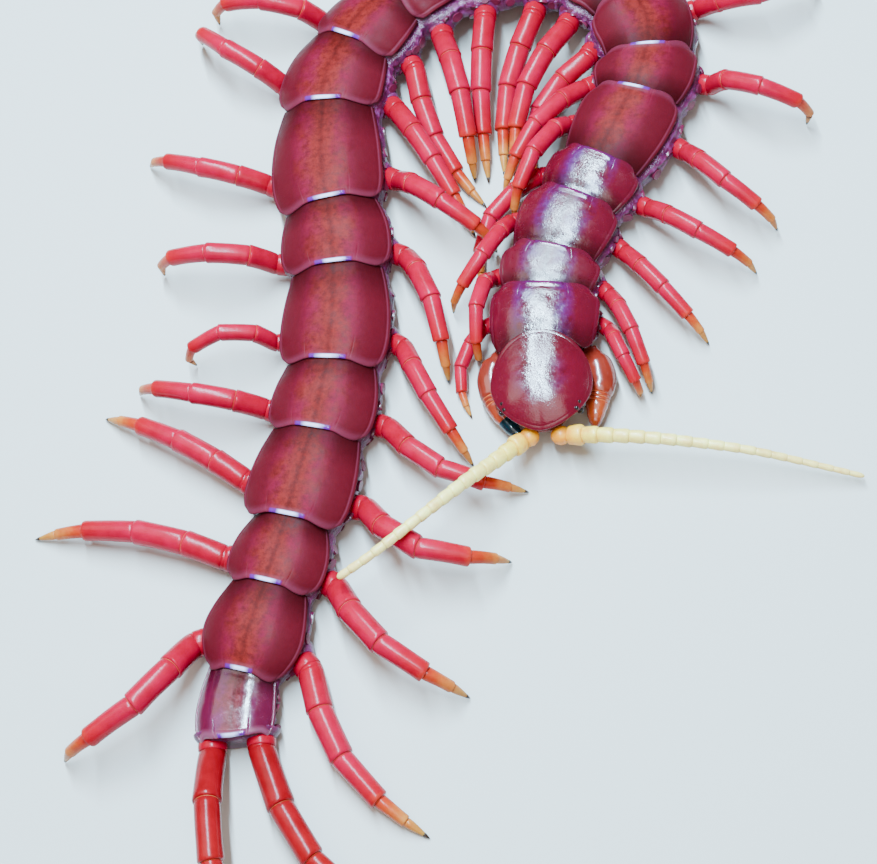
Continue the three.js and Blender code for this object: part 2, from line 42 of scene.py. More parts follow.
UP = Vector((0, 0, 1))

# How far the layout of the body is moved, so that the model's box is centred on the origin
LAYOUT_SHIFT = Vector((0.0285, -12.4423, 0))

HEAD_FRONT = (12.6, -3.5)
HEAD_HEADING = 87.5
HEAD_LENGTH = 11.9

# Length, width, turn, tilt and swell of the left and right flank of each leg-bearing segment
SEGMENTS = [
    (6.4, 13.1, -5, 0, 0, 0),
    (5.2, 12.3, -11, -2, 0.2, 0),
    (7.6, 12.4, -11, -4, 0.4, 0),
    (5.9, 12.1, -2, -5, 0.6, 0),
    (10.2, 12.5, 9, -5, 0.8, 0),
    (6.4, 12.8, 22, -2, 0.6, 0.2),
    (8.8, 12.7, 36, 6, 0.4, 0.5),
    (7.4, 12.8, 29, 14, 0, 0.8),
    (7.0, 12.9, 23, 18, 0, 1.0),
    (9.2, 13.0, 19, 20, 0, 1.0),
    (7.2, 13.2, 18, 18, 0, 1.0),
    (8.2, 13.6, 22, 12, 0, 0.8),
    (9.4, 14.0, 28, 7, 0, 0.5),
    (14.2, 14.2, 13, 3, 0, 0.3),
    (9.0, 13.8, -5, 0, 0, 0.2),
    (12.7, 13.5, -9, 0, 0, 0.2),
    (8.9, 13.0, -7, 0, 0, 0.1),
    (11.0, 13.0, -2, 0, 0, 0),
    (8.1, 11.9, -1, 0, 0, 0),
    (10.4, 12.1, 1, 0, 0, 0),
    (7.7, 9.2, 20, 0, 0, 0),
]
LENGTH, WIDTH, TURN, TILT, SWELL_LEFT, SWELL_RIGHT = range(6)
LAST = len(SEGMENTS) - 1

HEIGHT_TO_WIDTH = 0.6
BELLY_HALF = 0.38

# Hips, legs and feet as the solids have them
LEG_ROOT_HEIGHT = 0.31
LEG_ROOT_INSET = 0.9
LEG_ROOT_AT = 0.64
HIP_REACH = 1.75
HIP_MOST_SWING = 38
HIP_RISE = 12
JOINT_GAP = 0.3
LEG_LENGTHS = (4.2, 5.3, 5.5, 3.2, 2.8)
LEG_RADII = (1.42, 1.36, 1.18, 0.78, 0.52)

# Each foot: how far it reaches from the hip, how far it swings back, how much the leg bows and,
# for some, the share of its length that shows
LEFT_FEET = [
    (10.5, -57, 13), (14.9, -53, -9), (16.9, -26, 7), (16.7, -4, 21), (16.5, -19, 30),
    (14.3, -16, 29), (17.3, -13, 63), (18.0, 2, 0), (19.0, 4, 0), (19.1, 10, 0),
    (18.6, 20, 0), (17.3, 30, -10), (17.2, -23, -35), (19.7, -23, -20), (17.0, -9, -15),
    (12.4, 8, 26, 0.86), (19.1, -4, -18), (23.4, -15, 11), (26.5, 5, 22, 1.06),
    (21.7, 53, -50, 0.92),
]
RIGHT_FEET = [
    (12.3, -78, 65), (11.4, -84, 22), (14.9, -74, -22), (17.5, -87, 66), (15.4, -78, 14),
    (19.3, -57, 25), (20.6, -44, 63), (21.7, -14, 32), (22.5, 2, 27), (22.6, 11, 11),
    (20.5, 18, -13), (22.1, 24, 30), (21.5, 45, -4), (17.4, 41, 17), (18.8, 73, -27),
    (19.1, 56, 13), (20.0, 16, 52), (19.7, 7, 69), (21.8, 25, 41, 0.96),
    (25.2, 39, 41, 0.93),
]
LEG_SCALE = (
    0.56, 0.74, 0.79, 0.84, 0.86, 0.89, 0.95, 1.0, 1.02, 1.02,
    1.02, 0.99, 0.96, 0.95, 0.95, 0.90, 0.96, 1.05, 1.13, 1.22,
)
LEG_THICKNESS = (0.66, 1.1)
LAST_LENGTHS = (7.4, 6.8, 5.4, 3.7, 3.6)
LAST_RADII = (1.62, 1.48, 1.24, 0.86, 0.62)
LAST_ROOT = {"at": 0.92, "out": 2.75, "height": 2.5, "hip": 1.1}
LAST_FEET = {1: (24.6, -7, 12), -1: (26.5, 35.5, -43)}
BOW_SHARES = (-0.5, -0.25, 0.15, 0.4, 0.5)
FOOT_HEIGHT = 0.25
SIDES = (("left", 1), ("right", -1))


# Layout of the body

def advance(x, y, heading, distance, turn):
    angle = math.radians(turn)
    if abs(angle) < 1e-6:
        return x + distance * math.cos(heading), y + distance * math.sin(heading), heading
    radius = distance / angle
    turned_to = heading + angle
    x += radius * (math.sin(turned_to) - math.sin(heading))
    y -= radius * (math.cos(turned_to) - math.cos(heading))
    return x, y, turned_to


HEAD_REAR = advance(*HEAD_FRONT, math.radians(HEAD_HEADING), HEAD_LENGTH, 0)
STARTS = [HEAD_REAR]
for segment in SEGMENTS:
    STARTS.append(advance(*STARTS[-1], segment[LENGTH], segment[TURN]))


def smooth(share):
    share = min(max(share, 0), 1)
    return share * share * (3 - 2 * share)


def hump(value, middle, spread):
    return math.exp(-((value - middle) / spread) ** 2)


def along_points(points, place):
    """A value read between (place, value) points with an even slope."""
    if place <= points[0][0]:
        return points[0][1]
    for (a, va), (b, vb) in zip(points, points[1:]):
        if place <= b:
            return va + (vb - va) * smooth((place - a) / (b - a))
    return points[-1][1]


def between(column, index, share):
    """A value of the table that changes smoothly from the middle of one segment to the next."""
    place = index + share - 0.5
    low = math.floor(place)
    a, b = (SEGMENTS[min(max(k, 0), LAST)][column] for k in (low, low + 1))
    return a + (b - a) * smooth(place - low)


def body_frame(index, share):
    """Origin on the belly's middle line, and the animal's back, left, up and level left."""
    segment = SEGMENTS[index]
    x, y, heading = advance(*STARTS[index], segment[LENGTH] * share, segment[TURN] * share)
    tilt = math.radians(between(TILT, index, share))
    back = Vector((math.cos(heading), math.sin(heading), 0))
    level = back.cross(UP)
    left = level * math.cos(tilt) - UP * math.sin(tilt)
    up = UP * math.cos(tilt) + level * math.sin(tilt)
    lift = BELLY_HALF * segment[WIDTH] / 2 * abs(math.sin(tilt))
    return Vector((x, y, lift)), back, left, up, level


def on_body(index, share, across, height):
    origin, _, left, up, _ = body_frame(index, share)
    return origin + left * across + up * height


HEAD_FORWARD = Vector((-math.cos(HEAD_REAR[2]), -math.sin(HEAD_REAR[2]), 0))
HEAD_LEFT = UP.cross(HEAD_FORWARD)


def on_head(forward, left, height):
    return Vector((HEAD_REAR[0], HEAD_REAR[1], height)) + HEAD_FORWARD * forward + HEAD_LEFT * left


def curve_through(points, place):
    """A point on the smooth curve through the points, at a place from 0 to 1."""
    spot = min(max(place, 0), 1) * (len(points) - 1)
    low = min(int(spot), len(points) - 2)
    t = spot - low
    near = (points[min(max(k, 0), len(points) - 1)] for k in (low - 1, low, low + 1, low + 2))
    return tuple(
        0.5 * (2 * b + (c - a) * t + (2 * a - 5 * b + 4 * c - d) * t * t
               + (3 * b - a - 3 * c + d) * t ** 3)
        for a, b, c, d in zip(*near))


def measured_route(points, steps=400):
    """Close points along the smooth curve through a route, and how far along it each lies."""
    spots = [Vector(curve_through(points, k / steps)) for k in range(steps + 1)]
    gone = [0.0]
    for a, b in zip(spots, spots[1:]):
        gone.append(gone[-1] + (b - a).length)
    return spots, gone


def at_distance(route, distance):
    """The place on a measured route and the way it runs there, straight on past its ends."""
    spots, gone = route
    low, high = 0, len(gone) - 1
    while high - low > 1:
        middle = (low + high) // 2
        low, high = (middle, high) if gone[middle] <= distance else (low, middle)
    way = (spots[min(high + 2, len(spots) - 1)] - spots[max(low - 2, 0)]).normalized()
    return spots[low] + way * (distance - gone[low]), way


def limb_axes(way):
    side = way.cross(UP).normalized()
    return side, side.cross(way).normalized()


# Shaping by hand

def alone(piece):
    bpy.ops.object.select_all(action="DESELECT")
    piece.select_set(True)
    bpy.context.view_layer.objects.active = piece


def start(add, name, **settings):
    """Adds a primitive, with nothing else selected."""
    bpy.ops.object.select_all(action="DESELECT")
    add(**settings)
    piece = bpy.context.object
    piece.name = name
    piece.data.name = name
    return piece


def edit(piece):
    alone(piece)
    bpy.ops.object.mode_set(mode="EDIT")
    bpy.ops.mesh.select_all(action="SELECT")


def leave():
    bpy.ops.object.mode_set(mode="OBJECT")


def cut(piece, way, places):
    """Cuts right across the piece at each place along a way."""
    edit(piece)
    for place in places:
        bpy.ops.mesh.select_all(action="SELECT")
        bpy.ops.mesh.bisect(plane_co=Vector(way) * place, plane_no=way)
    leave()


def shift(piece, test, step):
    """Moves the points whose place passes the test."""
    edit(piece)
    bpy.ops.mesh.select_all(action="DESELECT")
    leave()
    for vertex in piece.data.vertices:
        vertex.select = test(*vertex.co)
    bpy.ops.object.mode_set(mode="EDIT")
    bpy.ops.transform.translate(value=step)
    leave()


def turned(name, sides, profile):
    """A round solid along Z, drawn out ring by ring from (height, radius) steps."""
    (low, radius), *steps = profile
    piece = start(bpy.ops.mesh.primitive_circle_add, name, vertices=sides, radius=radius,
                  fill_type="TRIFAN", location=(0, 0, low))
    bpy.ops.object.transform_apply(location=True)
    edit(piece)
    for height, wider in steps:
        bpy.ops.mesh.extrude_region_move(TRANSFORM_OT_translate={"value": (0, 0, height - low)})
        ratio = wider / radius
        bpy.ops.transform.resize(value=(ratio, ratio, 1), center_override=(0, 0, height))
        low, radius = height, wider
    bpy.ops.mesh.select_all(action="SELECT")
    bpy.ops.mesh.normals_make_consistent(inside=False)
    leave()
    return piece


def flat_sheet(name, across, along):
    """A grid from -1 to 1 across and 0 to 1 along."""
    piece = start(bpy.ops.mesh.primitive_grid_add, name,
                  x_subdivisions=across, y_subdivisions=along, size=2)
    edit(piece)
    bpy.ops.transform.resize(value=(1, 0.5, 1), center_override=(0, 0, 0))
    bpy.ops.transform.translate(value=(0, 0.5, 0))
    leave()
    return piece


def apply_modifier(piece, kind, **settings):
    alone(piece)
    made = piece.modifiers.new(kind.title(), kind)
    for name, value in settings.items():
        setattr(made, name, value)
    bpy.ops.object.modifier_apply(modifier=made.name)


def mark(piece, name, values):
    made = piece.data.attributes.new(name, "FLOAT", "POINT")
    made.data.foreach_set("value", values)


def marks(piece, name):
    values = [0.0] * len(piece.data.vertices)
    piece.data.attributes[name].data.foreach_get("value", values)
    return values


def copy_of(piece, name):
    made = piece.copy()
    made.data = piece.data.copy()
    made.name = name
    made.data.name = name
    bpy.context.scene.collection.objects.link(made)
    return made


def lay(piece, points):
    """Gives the vertices their final places, from millimetres in the layout."""
    for vertex, point in zip(piece.data.vertices, points):
        vertex.co = (point + LAYOUT_SHIFT) * MM
    piece.data.update()


def join(pieces, name):
    bpy.ops.object.select_all(action="DESELECT")
    for piece in pieces:
        piece.select_set(True)
    bpy.context.view_layer.objects.active = pieces[0]
    bpy.ops.object.join()
    made = bpy.context.object
    made.name = name
    made.data.name = name
    return made


def finish_piece(piece, slot, *nodes, angle=60):
    """Turns the faces outwards, smooths the shading and gives the piece its place in the model."""
    edit(piece)
    bpy.ops.mesh.normals_make_consistent(inside=False)
    leave()
    bpy.ops.object.shade_smooth_by_angle(angle=math.radians(angle))
    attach(piece, "root")
    if nodes:
        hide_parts(*nodes)


def discard(piece):
    bpy.data.objects.remove(piece)


# Materials

NOISE, CELLS = "ShaderNodeTexNoise", "ShaderNodeTexVoronoi"
MATH, MIX, RAMP = "ShaderNodeMath", "ShaderNodeMix", "ShaderNodeValToRGB"
MARK, PLACE, BUMP = "ShaderNodeAttribute", "ShaderNodeTexCoord", "ShaderNodeBump"
WHITE, BLACK = "#ffffff", "#000000"

# Sizes of the clouds, blots and grit in the cuticle and of the skin's wrinkles, in millimetres.
# The real pits of cuticle are finer than a render shows, so grit and pits are drawn this coarse
PLATE_CLOUD, PLATE_BLOT, PLATE_GRIT = 2.6, 0.7, 0.22
SKIN_CLOUD, SKIN_WRINKLE = 2.2, 0.5
LIMB_CLOUD, LIMB_PIT = 1.6, 0.3
LIP_ROUGHNESS = 0.15
SKIN_RELIEF = 0.3
LIMB_RELIEF = 0.05


def linear(hex_colour):
    channels = [int(hex_colour[i:i + 2], 16) / 255 for i in (1, 3, 5)]
    return [c / 12.92 if c <= 0.04045 else ((c + 0.055) / 1.055) ** 2.4 for c in channels] + [1]


def add_node(tree, kind, inputs=None, output=0, stops=None, **settings):
    """Adds one node with its settings and links, and gives back the output that is used."""
    made = tree.nodes.new(kind)
    for name, value in settings.items():
        setattr(made, name, value)
    for key, value in (inputs or {}).items():
        if isinstance(value, bpy.types.NodeSocket):
            tree.links.new(value, made.inputs[key])
        else:
            made.inputs[key].default_value = value
    if stops:
        elements = made.color_ramp.elements
        while len(elements) < len(stops):
            elements.new(0.5)
        for element, (place, colour) in zip(elements, stops):
            element.position = place
            element.color = linear(colour)
    return made.outputs[output]


def new_material(name, **inputs):
    """A material with its shader's own numbers, and the place on the object for its patterns."""
    material = bpy.data.materials.new(name)
    material.use_nodes = True
    tree = material.node_tree
    shader = tree.nodes["Principled BSDF"]
    for socket, value in inputs.items():
        shader.inputs[socket.replace("_", " ")].default_value = value
    return material, tree, shader, add_node(tree, PLACE, output="Object")


def per_mm(size):
    """The scale of a pattern whose features are about so many millimetres across."""
    return 1 / (size * MM)


def plate_horn(name, middle, sheen_fringe, side, rim, lip, lip_end, depth, roughness, **inputs):
    """Cuticle of a back plate, like varnished horn in layers: mottled along the middle where the
    flesh shows through, darker at the front and down the middle line, deep crimson at the sides
    with patches of a painted sheen fringe on the way, a paler rim whose thin inner line is partly
    painted highlight, and a polished lip that on the back and tail plates is painted pale as its
    highlight."""
    material, tree, shader, place = new_material(
        name, Subsurface_Weight=0.08, Subsurface_Scale=0.0010, **inputs)
    multiply = {"data_type": "RGBA", "blend_type": "MULTIPLY"}

    # Where a spot lies: out from the middle line, and from the front edge to the rear
    signed = add_node(tree, MARK, attribute_name="across", output="Fac")
    across = add_node(tree, MATH, {0: signed}, operation="ABSOLUTE")
    along = add_node(tree, MARK, attribute_name="along", output="Fac")
    cloud = add_node(tree, NOISE, {
        "Vector": place, "Scale": per_mm(PLATE_CLOUD), "Detail": 5.0, "Roughness": 0.62})
    blots = add_node(tree, NOISE, {
        "Vector": place, "Scale": per_mm(PLATE_BLOT), "Detail": 4.0, "Roughness": 0.7})
    grit = add_node(tree, NOISE, {"Vector": place, "Scale": per_mm(PLATE_GRIT), "Detail": 2.0})
    wander = add_node(tree, MATH, {0: cloud, 1: 0.36, 2: -0.18}, operation="MULTIPLY_ADD")
    spot = add_node(tree, MATH, {0: across, 1: wander}, operation="ADD")

    # Middle and sides, and the cloudy patches between them: a painted sheen fringe, the violet of
    # an iridescent reflection
    toned = add_node(tree, RAMP, {"Fac": spot}, stops=[(0.0, middle), (0.20, middle), (0.52, side)])
    band = add_node(tree, RAMP, {"Fac": spot}, stops=[
        (0.12, BLACK), (0.30, WHITE), (0.42, WHITE), (0.62, BLACK)])
    patches = add_node(tree, RAMP, {"Fac": cloud}, stops=[(0.38, BLACK), (0.60, "#d0d0d0")])
    patched = add_node(tree, MATH, {0: band, 1: patches}, operation="MULTIPLY")
    toned = add_node(tree, MIX, {0: patched, 6: toned, 7: linear(sheen_fringe)}, 2, data_type="RGBA")

    # Brown flecks, the darker front and the dark middle line
    flecks = add_node(tree, RAMP, {"Fac": blots}, stops=[(0.34, "#806c58"), (0.62, WHITE)])
    amount = add_node(tree, RAMP, {"Fac": spot}, stops=[(0.26, "#c8c8c8"), (0.60, "#585858")])
    toned = add_node(tree, MIX, {0: amount, 6: toned, 7: flecks}, 2, **multiply)
    ends = add_node(tree, RAMP, {"Fac": along}, stops=[
        (0.0, "#6c6458"), (0.10, "#90887c"), (0.42, WHITE)])
    toned = add_node(tree, MIX, {0: 0.8, 6: toned, 7: ends}, 2, **multiply)
    seam = add_node(tree, RAMP, {"Fac": across}, stops=[
        (0.0, "#847068"), (0.03, "#b8a8a0"), (0.07, WHITE)])
    toned = add_node(tree, MIX, {0: 0.4, 6: toned, 7: seam}, 2, **multiply)

    # The thin pale line at the sides, partly the rim's paler horn and partly a painted highlight on
    # its raised edge, the wider rim behind, and the lip in its middle
    border = add_node(tree, RAMP, {"Fac": across}, stops=[
        (0.93, BLACK), (0.948, "#b0b0b0"), (0.966, "#303030")])
    behind = add_node(tree, RAMP, {"Fac": along}, stops=[(0.92, BLACK), (0.96, "#909090")])
    border = add_node(tree, MATH, {0: border, 1: behind}, operation="MAXIMUM")
    toned = add_node(tree, MIX, {0: border, 6: toned, 7: linear(rim)}, 2, data_type="RGBA")
    inward = add_node(tree, RAMP, {"Fac": across}, stops=[(0.35, WHITE), (0.39, BLACK)])
    last = add_node(tree, RAMP, {"Fac": along}, stops=[(0.955, BLACK), (0.968, WHITE)])
    bar = add_node(tree, MATH, {0: inward, 1: last}, operation="MULTIPLY")
    # On the back and tail plates the lip's pale bar is a painted highlight, and its violet ends are
    # painted sheen
    lip_tone = add_node(tree, RAMP, {"Fac": spot}, stops=[(0.10, lip), (0.27, lip_end)])
    toned = add_node(tree, MIX, {0: bar, 6: toned, 7: lip_tone}, 2, data_type="RGBA")
    tree.links.new(toned, shader.inputs["Base Color"])

    # The polish is worn in blots and clouds, and more on some plates
    worn = add_node(tree, MATH, {0: blots, 1: 0.3, 2: roughness - 0.15}, operation="MULTIPLY_ADD")
    dull = add_node(tree, RAMP, {"Fac": cloud}, stops=[(0.40, BLACK), (0.62, "#606060")])
    worn = add_node(tree, MATH, {0: dull, 1: worn}, operation="ADD")
    dulled = add_node(tree, MARK, attribute_name="dulled", output="Fac")
    worn = add_node(tree, MATH, {0: dulled, 1: worn}, operation="ADD")
    polish = add_node(tree, MIX, {0: bar, 2: worn, 3: LIP_ROUGHNESS})
    tree.links.new(polish, shader.inputs["Roughness"])
    relief = add_node(tree, MATH, {0: grit, 1: 0.35, 2: blots}, operation="MULTIPLY_ADD")
    bump = add_node(tree, BUMP, {"Height": relief, "Distance": depth * MM, "Strength": 0.5})
    tree.links.new(bump, shader.inputs["Normal"])
    return material


def soft_skin(name, fold, flesh, ridge_and_highlight):
    """Soft skin of the flanks: thin, wrinkled and moist, its colour clouded, with painted shade
    turning it violet in the creases and painted highlight making it paler pink on the bulges."""
    material, tree, shader, place = new_material(
        name, Roughness=0.3, IOR=1.45, Subsurface_Weight=0.2, Subsurface_Scale=0.0012)
    swell = add_node(tree, MARK, attribute_name="swell", output="Fac")
    cloud = add_node(tree, NOISE, {
        "Vector": place, "Scale": per_mm(SKIN_CLOUD), "Detail": 6.0, "Roughness": 0.65})
    wrinkle = add_node(tree, NOISE, {
        "Vector": place, "Scale": per_mm(SKIN_WRINKLE), "Detail": 4.0, "Distortion": 1.2})
    # Bulging skin is painted paler as if lit, and creased skin darker as if shaded
    raised = add_node(tree, MATH, {0: swell, 1: 0.5, 2: -0.25}, operation="MULTIPLY_ADD")
    level = add_node(tree, MATH, {0: cloud, 1: 0.9, 2: raised}, operation="MULTIPLY_ADD")
    colour = add_node(tree, RAMP, {"Fac": level}, stops=[(0.15, fold), (0.5, flesh), (0.85, ridge_and_highlight)])
    tree.links.new(colour, shader.inputs["Base Color"])
    relief = add_node(tree, MATH, {0: wrinkle, 1: 0.7, 2: cloud}, operation="MULTIPLY_ADD")
    bump = add_node(tree, BUMP, {"Height": relief, "Distance": SKIN_RELIEF * MM, "Strength": 0.7})
    tree.links.new(bump, shader.inputs["Normal"])
    return material


def limb_horn(name, stops, roughness, coat, shine):
    """Cuticle of a limb: glossy tinted horn whose colour runs from the root to the tip, mottled
    a little, with tiny pits that break up the shine."""
    material, tree, shader, place = new_material(
        name, Roughness=roughness, IOR=1.5, Specular_IOR_Level=shine,
        Coat_Weight=coat, Coat_Roughness=0.12, Subsurface_Weight=0.15, Subsurface_Scale=0.0008)
    reach = add_node(tree, MARK, attribute_name="reach", output="Fac")
    cloud = add_node(tree, NOISE, {
        "Vector": place, "Scale": per_mm(LIMB_CLOUD), "Detail": 5.0, "Roughness": 0.6})
    pits = add_node(tree, CELLS, {"Vector": place, "Scale": per_mm(LIMB_PIT)})
    wander = add_node(tree, MATH, {0: cloud, 1: 0.12, 2: -0.06}, operation="MULTIPLY_ADD")
    spot = add_node(tree, MATH, {0: reach, 1: wander}, operation="ADD")
    colour = add_node(tree, RAMP, {"Fac": spot}, stops=stops)
    shadow = add_node(tree, RAMP, {"Fac": cloud}, stops=[(0.3, "#d09c88"), (0.66, WHITE)])
    toned = add_node(tree, MIX, {0: 0.6, 6: colour, 7: shadow}, 2,
                     data_type="RGBA", blend_type="MULTIPLY")
    tree.links.new(toned, shader.inputs["Base Color"])
    relief = add_node(tree, MATH, {0: pits, 1: 0.3, 2: cloud}, operation="MULTIPLY_ADD")
    bump = add_node(tree, BUMP, {"Height": relief, "Distance": LIMB_RELIEF * MM, "Strength": 0.4})
    tree.links.new(bump, shader.inputs["Normal"])
    return material


def clouded_horn(name, light, dark, grain, depth, **inputs):
    """Horn or skin of one tone that clouds into a second, with a fine grain of its own."""
    material, tree, shader, place = new_material(name, **inputs)
    cloud = add_node(tree, NOISE, {
        "Vector": place, "Scale": per_mm(grain * 4), "Detail": 5.0, "Roughness": 0.6})
    grit = add_node(tree, NOISE, {"Vector": place, "Scale": per_mm(grain), "Detail": 4.0})
    colour = add_node(tree, RAMP, {"Fac": cloud}, stops=[(0.3, dark), (0.65, light)])
    tree.links.new(colour, shader.inputs["Base Color"])
    bump = add_node(tree, BUMP, {"Height": grit, "Distance": depth * MM, "Strength": 0.6})
    tree.links.new(bump, shader.inputs["Normal"])
    return material


# Thick front plates: wine-dark horn with a hard, wet-looking shine that takes the sky's blue, and a
# violet fringe beside it that is painted sheen
FRONT_HORN = plate_horn(
    "front_plate_cuticle", middle="#5c1024", sheen_fringe="#500c64", side="#5c081a", rim="#501028",
    lip="#601040", lip_end="#501040", depth=0.07, roughness=0.15, IOR=1.58)
# Plates further back: thinner, browner horn that looks waxed, with only its lips still glossy;
# their pale bar is a painted highlight with painted violet sheen at its ends
BACK_HORN = plate_horn(
    "back_plate_cuticle", middle="#741c18", sheen_fringe="#740c2c", side="#540e18", rim="#743448",
    lip="#d0c8e8", lip_end="#5c1c74", depth=0.05, roughness=0.42, IOR=1.45, Specular_IOR_Level=0.06)
# Head plate: the same hard shine as the front plates, a little redder, with a painted magenta sheen
# fringe and no pale lip
HEAD_HORN = plate_horn(
    "head_plate_cuticle", middle="#5c1020", sheen_fringe="#5c1040", side="#60081a", rim="#501018",
    lip="#641018", lip_end="#641018", depth=0.07, roughness=0.15, IOR=1.58)
# Last plate: polished horn with a broad pale border that lies raised like a hem, its paleness
# partly painted highlight, and a pale lip bar that is a painted highlight
TAIL_HORN = plate_horn(
    "tail_plate_cuticle", middle="#6c1c28", sheen_fringe="#6c1050", side="#580c28", rim="#b06c84",
    lip="#c0b8dc", lip_end="#601080", depth=0.04, roughness=0.14, IOR=1.58)

# Belly plates are thin and paler, so light sinks in; flank plates are small, dark and smooth
BELLY_HORN = clouded_horn("belly_plate_cuticle", "#9a4e42", "#7a2e34", 0.6, 0.04, Roughness=0.3,
                          Subsurface_Weight=0.15, Subsurface_Scale=0.001)
FLANK_HORN = clouded_horn("flank_plate_cuticle", "#6c2038", "#440a24", 0.4, 0.03, Roughness=0.25)

# Skin between the plates is moist and violet, with painted shade in its creases and painted
# highlight on its bulges; at the joints it is stretched thin and orange
FLANK_SKIN = soft_skin("flank_membrane", "#2e0828", "#601840", "#9c5090")
JOINT_SKIN = clouded_horn("joint_membrane", "#c8602c", "#9c3420", 0.25, 0.05, Roughness=0.3,
                          Subsurface_Weight=0.2, Subsurface_Scale=0.0006)

# Leg cuticle is smooth and crimson as if lacquered, and thins to amber near the foot
LEG_HORN = limb_horn("leg_cuticle", [
    (0.0, "#a00020"), (0.25, "#ac002c"), (0.5, "#b00030"), (0.68, "#ac0820"), (0.76, "#b43818"),
    (0.88, "#c07430"), (0.97, "#b07c30")], roughness=0.25, coat=0.0, shine=0.18)
LAST_LEG_HORN = limb_horn("last_leg_cuticle", [
    (0.0, "#840410"), (0.4, "#900814"), (0.7, "#9c1414"), (0.95, "#b05c20")],
                          roughness=0.25, coat=0.0, shine=0.18)

# Feelers bear fine down, so their yellow looks soft and dull; jaws are polished and red-brown
FEELER_HORN = limb_horn("feeler_cuticle", [
    (0.0, "#f89c00"), (0.05, "#fcb428"), (0.12, "#ffdc58"), (0.2, "#ffe878"), (0.4, "#fff08c"),
    (0.95, "#ffe488")], roughness=0.42, coat=0.1, shine=0.5)
JAW_HORN = limb_horn("jaw_cuticle", [
    (0.0, "#7c2418"), (0.45, "#80281a"), (0.60, "#90301a"), (0.84, "#a84018"),
    (0.97, "#802c10")], roughness=0.22, coat=0.6, shine=0.5)

# Hardened tips are near black and smooth, the plate that carries the jaws is red-brown like them,
# and the lenses of the eyes are dark glass beads in rims of their own
JAW_CLAW = clouded_horn("jaw_claw_cuticle", "#08303c", "#040c10", 0.5, 0.02, Roughness=0.2)
JAW_PLATE_HORN = clouded_horn("jaw_plate_cuticle", "#7c2410", "#5c140c", 0.5, 0.03, Roughness=0.25)
CLAW_HORN = clouded_horn("claw_cuticle", "#3a2012", "#1c100a", 0.3, 0.01, Roughness=0.25)
EYE_RIM_HORN = clouded_horn("eye_rim_cuticle", "#3c0c14", "#20080c", 0.2, 0.01, Roughness=0.2)
EYE_LENS = clouded_horn("eye_lens_cuticle", "#1a1512", "#0a0808", 0.2, 0.003, Roughness=0.08)

LIMB_FINISHES = (LEG_HORN, JOINT_SKIN, CLAW_HORN)


# Back plates

# Share of its width that a back plate keeps at its front and rear, and where it starts to narrow
# behind; the first plate and those near the tail have ends of their own
PLATE_ENDS = (0.83, 0.87, 0.72)
ROUND_PLATE_ENDS = {
    1: (0.93, 0.90, 0.72), 19: (0.74, 0.84, 0.72), 20: (0.74, 0.70, 0.52), 21: (0.88, 0.87, 0.60)}
PLATE_SINK = [(0, 0.50), (0.10, 0.40), (0.32, 0.16), (0.5, 0.1), (0.84, 0.1), (1, 0.2)]
FIRST_PLATE_DIP = 0.16
PLATE_THICKNESS = 0.24
DOME = 0.32
FRONT_GAP = 0.12
STRIP_TO = 0.10
FRONT_STRIP = 0.7
LIP_FROM = 0.90
LIP_DEPTH = 1.3
REAR_OVERLAP = 0.35
TAIL_RELIEF = 2.4
FRONT_PLATES = 4

# Where the flat plate has its suture, its groove, its rim and its lip
SUTURE_AT, SUTURE_HALF = 0.45, 0.015
GROOVE_AT = 0.925
RIM_FROM = 0.955
LIP_HALF = 0.37
RIM_RISE, LIP_RISE, GROOVE_DIP, SUTURE_DIP, EDGE_DIP = 0.05, 0.10, 0.05, 0.04, 0.12

# Plates whose polish is dulled, and how much their roughness gains by it
DULLED = {2: 0.10, 3: 0.04}


def plate_sink(index, share):
    """How far the plate dips below the body's height, most where it runs under the one before."""
    under_head = FIRST_PLATE_DIP * smooth(-share * 8) if index == 0 else 0
    return along_points(PLATE_SINK, share) + under_head


def plate_width(index, share):
    """Share of the full width that a plate has along its length."""
    front, rear, bend = ROUND_PLATE_ENDS.get(index + 1, PLATE_ENDS)
    ahead = max(1 - share / 0.62, 0) ** 1.7
    behind = max((share - bend) / (1 - bend), 0) ** 2.3
    return 1 - (1 - front) * ahead - (1 - rear) * behind


def body_height(index, share):
    return between(WIDTH, index, share) * HEIGHT_TO_WIDTH


def plate_model():
    """A flat plate with its raised rim, side grooves, two sutures and rear lip. Its heights are in
    millimetres already."""
    model = flat_sheet("plate_model", 26, 14)
    for side in (1, -1):
        cut(model, (side, 0, 0), (
            SUTURE_AT - SUTURE_HALF, SUTURE_AT, SUTURE_AT + SUTURE_HALF,
            0.91, GROOVE_AT, 0.94, 0.96, 0.98))
        cut(model, (side, 0, 0), (0.33, LIP_HALF, 0.41))
    cut(model, (0, 1, 0), (0.03, STRIP_TO, LIP_FROM, 0.935, 0.955, 0.985))
    shift(model, lambda x, y, z: abs(x) > RIM_FROM, (0, 0, RIM_RISE))
    shift(model, lambda x, y, z: abs(abs(x) - GROOVE_AT) < 0.005, (0, 0, -GROOVE_DIP))
    shift(model, lambda x, y, z: abs(abs(x) - SUTURE_AT) < 0.002 and y > 0.8, (0, 0, -SUTURE_DIP))
    shift(model, lambda x, y, z: abs(x) < LIP_HALF + 0.01 and y > 0.95, (0, 0, LIP_RISE))
    shift(model, lambda x, y, z: y > 0.995, (0, 0, -EDGE_DIP))
    mark(model, "across", [v.co.x for v in model.data.vertices])
    mark(model, "along", [v.co.y for v in model.data.vertices])
    mark(model, "relief", [v.co.z for v in model.data.vertices])
    return model


